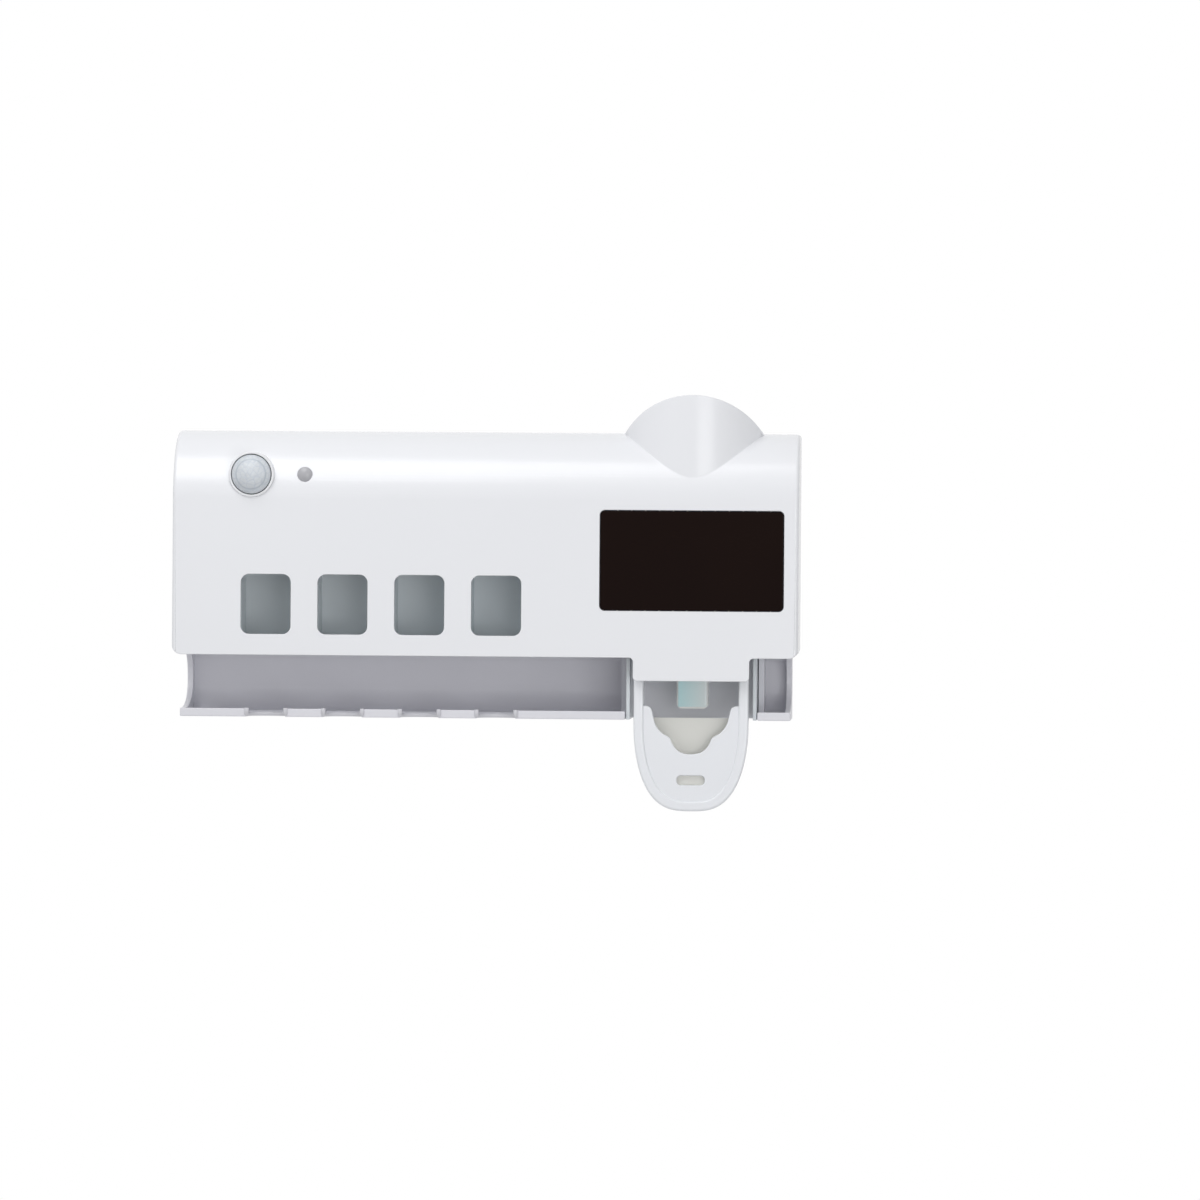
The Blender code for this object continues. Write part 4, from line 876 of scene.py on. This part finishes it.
# The lever's frame: side arms, a rim around the panel, and fingers that reach back from the hinge
def leverFrame():
    shape = leverShape
    half, arm, hub = shape["halfWidth"], shape["arm"], shape["hub"]
    front, back, hingeY, hingeZ = shape["front"], shape["rimBack"], shape["hingeY"], shape["hingeZ"]
    armTop = hingeZ + hub + spare
    ring = mirrored([(half, armTop)] + leverSide(0))
    ring += mirrored([(half - arm, armTop)] + leverSide(arm))[::-1]
    lever = outlineSolid("pushLever", ring, "Y", front, shape["fingerReach"])
    low, high = shape["low"] - spare, shape["fingerHigh"]
    thick, reach = shape["fingerThick"], shape["fingerReach"]
    side = [(front, low), (back, low), (back, shape["rimHigh"])]
    side += [(hingeY + hub, high - thick), (reach, high - thick / 2), (reach, high)]
    lean = degrees(asin((high - hingeZ) / hub))
    side += arcPoints(hingeY, hingeZ, hub, lean, 180, shape["hubSteps"])
    side.append((front, shape["frontHigh"]))
    left, right = tubePlace - shape["sideReach"], tubePlace + shape["sideReach"]
    keepCommon(lever, outlineSolid("side", side, "X", left, right))
    return roundEdges(lever, shape["edge"])


def leverPanel(side):
    shape = panelShape
    notch = [
        (across * shape["notchHalf"], shape["notchHigh"] - share * shape["notchDepth"])
        for across, share in notchShares
    ]
    outline = mirrored([(side, shape["notchHigh"])] + leverSide(leverShape["arm"] / 2))
    outline += mirrored(smoothLine(notch, shape["notchSteps"]))[::-1]
    panel = outlineSolid("panel", outline, "Y", shape["front"], shape["back"])
    size = shape["slotWidth"], shape["slotTall"], shape["slotRadius"]
    slot = roundedBox(tubePlace, shape["slotHeight"], *size)
    near, far = shape["front"] - spare, shape["back"] + spare
    cutAway(panel, outlineSolid("slot", slot, "Y", near, far))
    return roundEdges(panel, shape["edge"])


# The cream wall behind the panel, with a pad that closes the slot
def leverBack(side):
    shape, panel = leverBackShape, panelShape
    outline = mirrored([(side, shape["high"])] + leverSide(leverShape["arm"] / 2))
    near, far = leverShape["rimBack"] - shape["wall"], leverShape["rimBack"] - shape["inset"]
    back = outlineSolid("leverBack", outline, "Y", near, far)
    width, tall = (panel[key] + 2 * shape["padEdge"] for key in ("slotWidth", "slotTall"))
    outline = roundedBox(tubePlace, panel["slotHeight"], width, tall, shape["padRadius"])
    near, far = panel["back"] + shape["padGap"], leverShape["rimBack"] - shape["wall"] / 2
    joinTo(back, outlineSolid("slotPad", outline, "Y", near, far))
    softenEdges(back, shape["edge"])
    return setPiece(back, looks["creamPlastic"], "push_lever", "frosted_plastic")


def pushLever():
    shape = leverShape
    side = shape["halfWidth"] - shape["arm"] / 2
    hingeY, hingeZ = shape["hingeY"], shape["hingeZ"]
    lever = joinTo(leverFrame(), leverPanel(side))
    for sign in (-1, 1):
        foot = (tubePlace + sign * side, hingeY, hingeZ)
        head = (tubePlace + sign * shape["stubReach"], hingeY, hingeZ)
        joinTo(lever, rodSolid("stub", shape["stub"], foot, head, shape["stubSides"]))
    evenShading(lever)
    setPiece(lever, looks["frostedPlastic"], "push_lever", "frosted_plastic", "lever")
    leverBack(side)


pushLever()
print("push lever done")

# Nozzle: a rounded block with the bore through it
nozzleShape = {
    "low": -0.0483, "high": -0.0280, "half": 0.00585, "halfDepth": 0.005, "bore": 0.0022,
    "corner": 0.002, "steps": 12, "edge": (0.0012, 5, 50),
}
# Its tint is blue-green on one side and greyer on the other, with a pale painted highlight along
# its outline
nozzleLook = {
    "tint": (0.64, 0.97, 1.0), "grey": (0.94, 1.0, 1.0), "rim": (1.0, 1.0, 1.0),
    "rimWidth": 0.0009, "patchScale": 400, "roughness": (0.14, 0.22), "clear": 0.15,
}


def nozzleFinish():
    desk, look, shape = FinishDesk("tintedNozzle"), nozzleLook, nozzleShape
    place = desk.add("ShaderNodeSeparateXYZ", {"Vector": desk.place}).outputs
    left, right, low = tubePlace - shape["half"], tubePlace + shape["half"], shape["low"]
    width = look["rimWidth"]
    across = desk.spread(place["X"], 0, 1, left, right)
    # Mask for the painted highlight near the left, right and lower outline
    nearLeft = desk.spread(place["X"], 1, 0, left + width / 2, left + width)
    nearRight = desk.spread(place["X"], 0, 1, right - width, right - width / 2)
    nearLow = desk.spread(place["Z"], 1, 0, low + width / 2, low + width)
    rim = desk.join("MAXIMUM", desk.join("MAXIMUM", nearLeft, nearRight), nearLow)
    body = desk.mixColour(across, look["tint"], look["grey"])
    return desk.paint({
        "Base Color": desk.mixColour(rim, body, look["rim"]),
        "Roughness": desk.spread(desk.noise(look["patchScale"], 3), *look["roughness"]),
        "Transmission Weight": look["clear"],
    })


def nozzleTip():
    shape = nozzleShape
    low, high, half, corner = shape["low"], shape["high"], shape["half"], shape["corner"]
    left, right, steps = tubePlace - half, tubePlace + half, shape["steps"]
    outline = [(left, high)] + arcPoints(left + corner, low + corner, corner, 180, 270, steps)
    outline += arcPoints(right - corner, low + corner, corner, 270, 360, steps) + [(right, high)]
    reach = shape["halfDepth"]
    tip = outlineSolid("nozzleTip", outline, "Y", pumpDepth - reach, pumpDepth + reach)
    roundEdges(tip, shape["edge"])
    foot, head = (tubePlace, pumpDepth, low - spare), (tubePlace, pumpDepth, high + spare)
    cutAway(tip, rodSolid("bore", shape["bore"], foot, head))
    evenShading(tip)
    return setPiece(tip, nozzleFinish(), "plunger", "blue_tint", "nozzle")


nozzleTip()

# Pump bellows: round folds in a thin silicone wall
bellowsShape = {
    "place": (tubePlace, pumpDepth), "low": -0.0117, "high": 0.0121, "outer": 0.0094,
    "root": 0.0075, "wall": 0.0009, "folds": 5, "foldSteps": 12, "sides": 56,
}


def pumpBellows():
    shape = bellowsShape
    steps = shape["folds"] * shape["foldSteps"]
    middle, swing = (shape["outer"] + shape["root"]) / 2, (shape["outer"] - shape["root"]) / 2
    outer = []
    for index in range(steps + 1):
        share = index / steps
        radius = middle - swing * cos(2 * pi * shape["folds"] * share)
        outer.append((radius, shape["low"] + (shape["high"] - shape["low"]) * share))
    inner = [(radius - shape["wall"], height) for radius, height in reversed(outer)]
    foot = (*shape["place"], 0)
    bellows = turnedSolid("pumpBellows", outer + inner, foot, sides=shape["sides"], loop=True)
    bellows.data.shade_smooth()
    setPiece(bellows, looks["paleSilicone"], "dispenser", "silicone", "pump_bellows")
    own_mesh(bellows)


pumpBellows()

# Tube seal: a soft lipped ring
sealShape = {
    "foot": 0.0143, "outer": 0.009, "waist": 0.0085, "bore": 0.0066, "throat": 0.0069,
    "height": 0.007, "lip": 0.0007, "lipSteps": 8, "lipFrom": 0.55, "throatAt": 0.5,
    "boreTo": 0.3, "sides": 72,
}


def tubeSeal():
    shape = sealShape
    outer, bore, height, lip = shape["outer"], shape["bore"], shape["height"], shape["lip"]
    profile = [(shape["waist"], 0), (shape["waist"], height * shape["lipFrom"])]
    profile += arcPoints(outer - lip, height - lip, lip, 0, 90, shape["lipSteps"])
    profile += arcPoints(bore + lip, height - lip, lip, 90, 180, shape["lipSteps"])
    profile += [(shape["throat"], height * shape["throatAt"])]
    profile += [(bore, height * shape["boreTo"]), (bore, 0)]
    foot = (tubePlace, pumpDepth, shape["foot"])
    seal = turnedSolid("tubeSeal", profile, foot, sides=shape["sides"], loop=True)
    evenShading(seal)
    return setPiece(seal, looks["paleSilicone"], "dispenser", "silicone", "tube_seal")


tubeSeal()
print("dispenser done")

# Motion sensor: a bezel ring with rounded edges and a lens of small facets
bezelShape = {
    "outer": 0.0083, "inner": 0.0074, "front": -0.0456, "soft": 0.0004, "innerSoft": 0.00024,
    "softSteps": 8, "sides": 96,
}
lensShape = {
    "radius": 0.0071, "rise": 0.0036, "skirtFoot": -0.0426, "skirt": 0.003, "wall": 0.0008,
    "pitch": 0.0017, "rowPitch": 0.866, "facet": 0.00016, "facetReach": 0.6, "rings": 56,
    "innerStep": 4, "sides": 112, "plainEdge": 0.0006, "plainDepth": 0.0001,
    "outsideFrom": 0.25, "outsideLean": 0.2, "shadeAngle": 50,
}
# Its milky front shows small cells, and a darker ring of painted shade stands for the step inside
# its rim
lensLook = {
    "milk": (0.84, 0.88, 0.92), "seam": (0.74, 0.79, 0.86), "cellScale": 520, "seamWidth": 0.12,
    "depth": 0.00002, "step": 0.0054, "stepHalf": 0.0004, "paintedStepShade": (0.60, 0.66, 0.72),
    "roughness": 0.34, "clear": 0.3,
}


def lensFinish():
    desk, look = FinishDesk("milkyLens"), lensLook
    inputs = {"Vector": desk.place, "Scale": look["cellScale"]}
    cells = desk.add("ShaderNodeTexVoronoi", inputs, feature="DISTANCE_TO_EDGE")
    seams = desk.spread(cells.outputs["Distance"], 0, 1, 0.0, look["seamWidth"])
    centred = desk.add("ShaderNodeMapping", {
        "Vector": desk.place, "Location": (-sensorShape["place"], 0, -sensorShape["height"]),
        "Scale": (1, 0, 1),
    })
    reach = desk.add("ShaderNodeVectorMath", {0: centred.outputs["Vector"]}, operation="LENGTH")
    reach, step, half = reach.outputs["Value"], look["step"], look["stepHalf"]
    # A ring of painted shade at the step's radius
    outside = desk.spread(reach, 0, 1, step - half, step)
    inside = desk.spread(reach, 1, 0, step, step + half)
    body = desk.mixColour(seams, look["seam"], look["milk"])
    ring = desk.join("MULTIPLY", outside, inside)
    return desk.paint({
        "Base Color": desk.mixColour(ring, body, look["paintedStepShade"]),
        "Normal": desk.bump(seams, look["depth"]),
        "Roughness": look["roughness"], "Transmission Weight": look["clear"],
    })


def sensorBezel():
    shape, foot = bezelShape, sensorShape["foot"]
    inner, outer, length = shape["inner"], shape["outer"], foot - shape["front"]
    profile = [(inner, 0), (outer, 0)]
    soft, steps = shape["soft"], shape["softSteps"]
    profile += arcPoints(outer - soft, length - soft, soft, 0, 90, steps)
    soft = shape["innerSoft"]
    profile += arcPoints(inner + soft, length - soft, soft, 90, 180, steps)
    place = (sensorShape["place"], foot, sensorShape["height"])
    bezel = turnedSolid("sensorBezel", profile, place, (0, -1, 0), shape["sides"], loop=True)
    evenShading(bezel)
    return setPiece(bezel, looks["whiteTrim"], "holder", "white_trim", "sensor_bezel")


# How far the nearest of the staggered facets stands out at a place on the lens
def facetLift(across, up):
    pitch, rowPitch = lensShape["pitch"], lensShape["rowPitch"]
    row = round(up / (pitch * rowPitch))
    nearest = 1.0
    for near in (row - 1, row, row + 1):
        offset = 0.5 * pitch if near % 2 else 0
        column = round((across - offset) / pitch)
        centre = (column * pitch + offset, near * pitch * rowPitch)
        distance = sqrt((across - centre[0]) ** 2 + (up - centre[1]) ** 2)
        nearest = min(nearest, distance / pitch)
    return lensShape["facet"] * max(0, 1 - (nearest / lensShape["facetReach"]) ** 2)


def sensorLens():
    shape = lensShape
    radius, rise, skirt, wall = shape["radius"], shape["rise"], shape["skirt"], shape["wall"]
    outer = domeProfile(radius, rise, skirt, shape["rings"])
    inner = [
        (across * (radius - wall) / radius, height - wall)
        for across, height in outer[::shape["innerStep"]]
    ]
    profile = outer + [(radius, 0), (radius - wall, 0)] + inner[::-1]
    foot = (sensorShape["place"], shape["skirtFoot"], sensorShape["height"])
    lens = turnedSolid("sensorLens", profile, foot, (0, -1, 0), shape["sides"])
    # Facets are pressed into the outer face alone, and fade out towards its edge
    for vertex in lens.data.vertices:
        across, up = vertex.co.x - foot[0], vertex.co.z - foot[2]
        depth, reach = foot[1] - vertex.co.y, sqrt(across ** 2 + up ** 2)
        fade = min(1, max(0, (radius - shape["plainEdge"] - reach) / shape["plainEdge"]))
        inside = skirt + (rise - wall) * shape["outsideFrom"] - reach * shape["outsideLean"]
        if depth > max(inside, skirt - shape["plainDepth"]):
            vertex.co.y += (shape["facet"] - facetLift(across, up)) * fade
    evenShading(lens, shape["shadeAngle"])
    return setPiece(lens, lensFinish(), "holder", "frosted_lens", "sensor_lens")


sensorBezel()
sensorLens()

# Indicator lens: a low dome on the cover's rounded top
indicatorShape = {"rise": 0.0011, "rings": 14, "shadeAngle": 50}


def indicatorLens():
    shape, place = indicatorShape, sensorShape
    centreY, centreZ = topCentre()
    surface = centreY - sqrt(coverShape["topRadius"] ** 2 - (place["height"] - centreZ) ** 2)
    radius, base = place["indicatorRadius"], place["foot"] - surface
    profile = domeProfile(radius, shape["rise"], base, shape["rings"]) + [(radius, 0), (0, 0)]
    foot = (place["indicator"], place["foot"], place["height"])
    lens = turnedSolid("indicatorLens", profile, foot, (0, -1, 0))
    evenShading(lens, shape["shadeAngle"])
    return setPiece(lens, looks["smokedLens"], "holder", "smoked_lens", "indicator_led")


indicatorLens()


# Solar window: a glossy sheet with a soft edge
def solarWindow():
    shape = solarShape
    middle, height = span(shape["low"], shape["high"])
    outline = roundedBox(tubePlace, middle, shape["width"], height, shape["radius"])
    sheet = outlineSolid("solarWindow", outline, "Y", shape["front"], shape["back"])
    evenShading(roundEdges(sheet, shape["edge"]))
    return setPiece(sheet, looks["blackResin"], "holder", "black_glass", "solar_window")


solarWindow()
print("lenses and solar window done")

# Charging socket: a folded steel shell with a tongue inside
socketShape = {
    "left": -0.1134, "right": -0.1074, "near": -0.0130, "far": -0.0103, "low": 0.03195,
    "high": 0.03955, "wall": 0.0004, "radius": 0.0009, "mouthRadius": 0.0005, "mouthSteps": 8,
    "edge": (0.0001, 2, 40),
}
tongueShape = {"recess": 0.0012, "foot": 0.0003, "halfDepth": 0.0003, "halfHeight": 0.0024}


def usbShell():
    shape, tongue = socketShape, tongueShape
    middleY, deep = span(shape["near"], shape["far"])
    middleZ, tall = span(shape["low"], shape["high"])
    left, right, wall = shape["left"], shape["right"], shape["wall"]
    outline = roundedBox(middleY, middleZ, deep, tall, shape["radius"])
    shell = outlineSolid("usbShell", outline, "X", left, right)
    size = deep - 2 * wall, tall - 2 * wall, shape["mouthRadius"], shape["mouthSteps"]
    outline = roundedBox(middleY, middleZ, *size)
    cutAway(shell, outlineSolid("mouth", outline, "X", left - spare, right - wall))
    softenEdges(shell, shape["edge"])
    setPiece(shell, looks["platedSteel"], "holder", "steel", "usb_socket")
    halfDepth, halfHeight = tongue["halfDepth"], tongue["halfHeight"]
    low = (left + tongue["recess"], middleY - halfDepth, middleZ - halfHeight)
    high = (right - tongue["foot"], middleY + halfDepth, middleZ + halfHeight)
    blade = softenEdges(blockSolid("usbTongue", low, high), shape["edge"])
    return setPiece(blade, looks["blackPlastic"], "holder", "black_glass")


usbShell()
print("charging socket done")

# Screws: one template stands at each place, turned a little differently
screwTree = ShapeDesk("screwPlaces", {
    "Screw": "NodeSocketObject", "Screw Scale": "NodeSocketFloat",
    "Largest Twist": "NodeSocketFloat", "Seed": "NodeSocketInt", "Finish": "NodeSocketMaterial",
})
coverScrewShape = {"shank": 0.0013, "head": 0.0026, "height": 0.0009, "length": 0.010, "seed": 4}
boardScrewShape = {"shank": 0.0008, "head": 0.0017, "height": 0.0008, "length": 0.004, "seed": 9}
# Shares of a screw's own sizes, its thread's pitch, and how its head is cut
screwRules = {
    "scale": 1.0, "twist": 0.7, "soft": 0.6, "softSteps": 6, "root": 0.8, "threaded": 0.8,
    "plain": 0.12, "pitch": 0.0006, "crest": 0.0002, "foot": 0.0004, "crossWidth": 0.13,
    "crossReach": 0.62, "crossFloor": 0.35, "crossHigh": 0.0005, "sides": 24, "shadeAngle": 35,
}


def growScrewTree():
    desk = screwTree
    template = desk.add("GeometryNodeObjectInfo", {"Object": desk.source["Screw"]})
    inputs = {3: desk.source["Largest Twist"], "Seed": desk.source["Seed"]}
    twist = desk.add("FunctionNodeRandomValue", inputs)
    turn = desk.add("ShaderNodeCombineXYZ", {"Y": twist.outputs[1]})
    placed = desk.add("GeometryNodeInstanceOnPoints", {
        "Points": desk.source["Geometry"], "Instance": template.outputs["Geometry"],
        "Rotation": turn.outputs[0], "Scale": desk.source["Screw Scale"],
    })
    desk.finishWith(placed.outputs[0])


def screwTemplate(shape, facing):
    rules = screwRules
    head, height, shank, length = shape["head"], shape["height"], shape["shank"], shape["length"]
    soft, root, pitch = height * rules["soft"], shank * rules["root"], rules["pitch"]
    profile = [(0, height)]
    profile += arcPoints(head - soft, height - soft, soft, 90, 0, rules["softSteps"])
    profile += [(head, 0), (root, 0)]
    for index in range(int(length * rules["threaded"] / pitch)):
        depth = -length * rules["plain"] - index * pitch
        profile += [(root, depth), (shank, depth - rules["crest"]), (root, depth - rules["foot"])]
    profile += [(0, -length)]
    screw = turnedSolid("screwTemplate", profile, (0, 0, 0), (0, facing, 0), rules["sides"])
    width, reach = head * rules["crossWidth"], head * rules["crossReach"]
    low, high = height * rules["crossFloor"], height + rules["crossHigh"]
    near, far = sorted((facing * low, facing * high))
    for across, up in ((width, reach), (reach, width)):
        cutAway(screw, blockSolid("cross", (-across, near, -up), (across, far, up)))
    return evenShading(screw, rules["shadeAngle"])


# Screws whose heads stand where those of the named nodes do, facing the wall (1) or away (-1)
def placeScrews(name, shape, facing, nodeNames):
    points = []
    for nodeName in nodeNames:
        low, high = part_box(nodeName)
        seat = high[1] - shape["height"] if facing > 0 else low[1] + shape["height"]
        points.append(((low[0] + high[0]) / 2, seat, (low[2] + high[2]) / 2))
    template = screwTemplate(shape, facing)
    screws = pathObject(name, [[point] for point in points])
    screwTree.run(screws, {
        "Screw": template, "Screw Scale": screwRules["scale"],
        "Largest Twist": screwRules["twist"], "Seed": shape["seed"], "Finish": looks["zincScrew"],
    })
    bpy.data.objects.remove(template)
    return setPiece(screws, looks["zincScrew"], "holder", "screw_steel", *nodeNames)


growScrewTree()
coverScrews = [f"cover_screw_{number}" for number in range(1, 7)]
rearScrews = [f"sensor_board_screw_{number}" for number in (1, 2)]
frontScrews = [f"{board}_board_screw_{number}" for board in ("main", "uv") for number in (1, 2)]
placeScrews("coverScrews", coverScrewShape, 1, coverScrews)
placeScrews("rearBoardScrews", boardScrewShape, 1, rearScrews)
placeScrews("frontBoardScrews", boardScrewShape, -1, frontScrews)
print("screws done")

# Pieces that keep their CAD shape and get rounded edges: piece, finish, body, slot and edge width
roundedNodes = {
    "brush_chamber": ("brushLiner", "chamberLiner", "holder", "liner", 0.0002),
    "wall_plate": ("hookPlate", "clearPlastic", "wall_mount", "clear_plastic", 0.0004),
    "cassette": ("cassetteBody", "clearPlastic", "dispenser", "clear_plastic", 0.0001),
    "piston": ("pistonStem", "whiteTrim", "plunger", "white_trim", 0.0002),
}
roundedRules = {"segments": 3, "angle": 32, "sharpBefore": {"brush_chamber": -0.0422}}
for nodeName, (pieceName, lookName, body, slotName, width) in roundedNodes.items():
    rounding = (width, roundedRules["segments"], roundedRules["angle"])
    limit = roundedRules["sharpBefore"].get(nodeName, cadBox[0][1])
    piece = softenEdges(copyNode(nodeName, pieceName), rounding, lambda point: point.y < limit)
    setPiece(piece, looks[lookName], body, slotName, nodeName)
print("rounded pieces:", len(roundedNodes))

# CAD nodes that only get a finish
plainNodes = {
    "adhesive_pad": "foamTape", "battery_tape": "foamTape", "battery": "batteryWrap",
    "battery_lead": "leadSheath", "uv_lead": "leadSheath", "solar_lead": "leadSheath",
    "main_board": "greenBoard", "uv_board": "greenBoard", "sensor_board": "greenBoard",
    "motion_sensor": "platedSteel", "solar_cell": "solarWafer",
}
plainNodes.update({f"uv_lamp_{number}": "lampResin" for number in range(1, 5)})
for nodeName, lookName in plainNodes.items():
    setNode(nodeName, looks[lookName])
print("plain nodes:", len(plainNodes))

# Floor, world and lamps
stageLook = {
    "floorHeight": -0.34, "floorSize": 8, "floorThick": 0.01, "floorGrey": 0.82, "world": 0.56,
    "backWhite": 1.0,
}


def makeStage():
    look = stageLook
    half, height, grey = look["floorSize"] / 2, look["floorHeight"], look["floorGrey"]
    low = (-half, -half, height - look["floorThick"])
    floor = blockSolid("floor", low, (half, half, height))
    finish = bpy.data.materials.new("paleFloor")
    finish.use_nodes = True
    finish.node_tree.nodes.clear()
    desk = TreeDesk(finish.node_tree)
    path = desk.add("ShaderNodeLightPath").outputs
    matte = desk.add("ShaderNodeBsdfDiffuse", {"Color": (grey, grey, grey)}).outputs[0]
    glow = desk.add("ShaderNodeEmission", {"Strength": look["backWhite"]}).outputs[0]
    mix = desk.add("ShaderNodeMixShader", {0: path["Is Camera Ray"], 1: matte, 2: glow})
    desk.add("ShaderNodeOutputMaterial", {"Surface": mix.outputs[0]})
    floor.data.materials.append(finish)


# A soft even light, seen as plain white by the camera and in gloss and clear plastic
def makeWorld():
    world = bpy.data.worlds.new("studio")
    bpy.context.scene.world = world
    world.use_nodes = True
    world.node_tree.nodes.clear()
    desk = TreeDesk(world.node_tree)
    path = desk.add("ShaderNodeLightPath").outputs
    seen = desk.join("MAXIMUM", path["Is Camera Ray"], path["Is Glossy Ray"])
    seen = desk.join("MAXIMUM", seen, path["Is Transmission Ray"])
    inputs = {"Value": seen, "To Min": stageLook["world"], "To Max": stageLook["backWhite"]}
    strength = desk.add("ShaderNodeMapRange", inputs).outputs["Result"]
    back = desk.add("ShaderNodeBackground", {"Color": (1, 1, 1), "Strength": strength})
    desk.add("ShaderNodeOutputWorld", {"Surface": back.outputs[0]})


lampTarget = (0, -0.02, 0)
lampSet = {
    "keyLamp": {"place": (-0.24, -0.52, 0.70), "size": 0.6, "power": 3.7},
    "fillLamp": {"place": (0.5, -1.3, -0.2), "size": 0.6, "power": 4.2},
}


def makeLamps():
    for name, settings in lampSet.items():
        lamp = bpy.data.lights.new(name, "AREA")
        lamp.shape, lamp.size, lamp.energy = "SQUARE", settings["size"], settings["power"]
        obj = newObject(name, lamp)
        obj.location = settings["place"]
        ahead = Vector(lampTarget) - obj.location
        obj.rotation_euler = ahead.to_track_quat("-Z", "Y").to_euler()


cameraSet = {
    "target": (0.0420, -0.045, -0.0087), "distance": 2.8, "azimuth": 2.6, "elevation": 0.5,
    "roll": 0.42, "frameWidth": 0.4357, "sensorWidth": 36, "clip": (0.05, 60),
}


def makeCamera():
    settings = cameraSet
    distance = settings["distance"]
    azimuth, elevation = radians(settings["azimuth"]), radians(settings["elevation"])
    level = cos(elevation)
    back = Vector((sin(azimuth) * level, -cos(azimuth) * level, sin(elevation)))
    lens = bpy.data.cameras.new("photoCamera")
    lens.sensor_width = settings["sensorWidth"]
    lens.lens = settings["sensorWidth"] * distance / settings["frameWidth"]
    lens.clip_start, lens.clip_end = settings["clip"]
    camera = newObject("photoCamera", lens)
    turn = (-back).to_track_quat("-Z", "Y").to_matrix()
    turn = turn @ Matrix.Rotation(radians(settings["roll"]), 3, "Z")
    place = Vector(settings["target"]) + back * distance
    camera.matrix_world = Matrix.Translation(place) @ turn.to_4x4()
    bpy.context.scene.camera = camera


makeStage()
makeWorld()
makeLamps()
makeCamera()
bpy.context.scene.view_settings.view_transform = "Standard"
print("stage done")
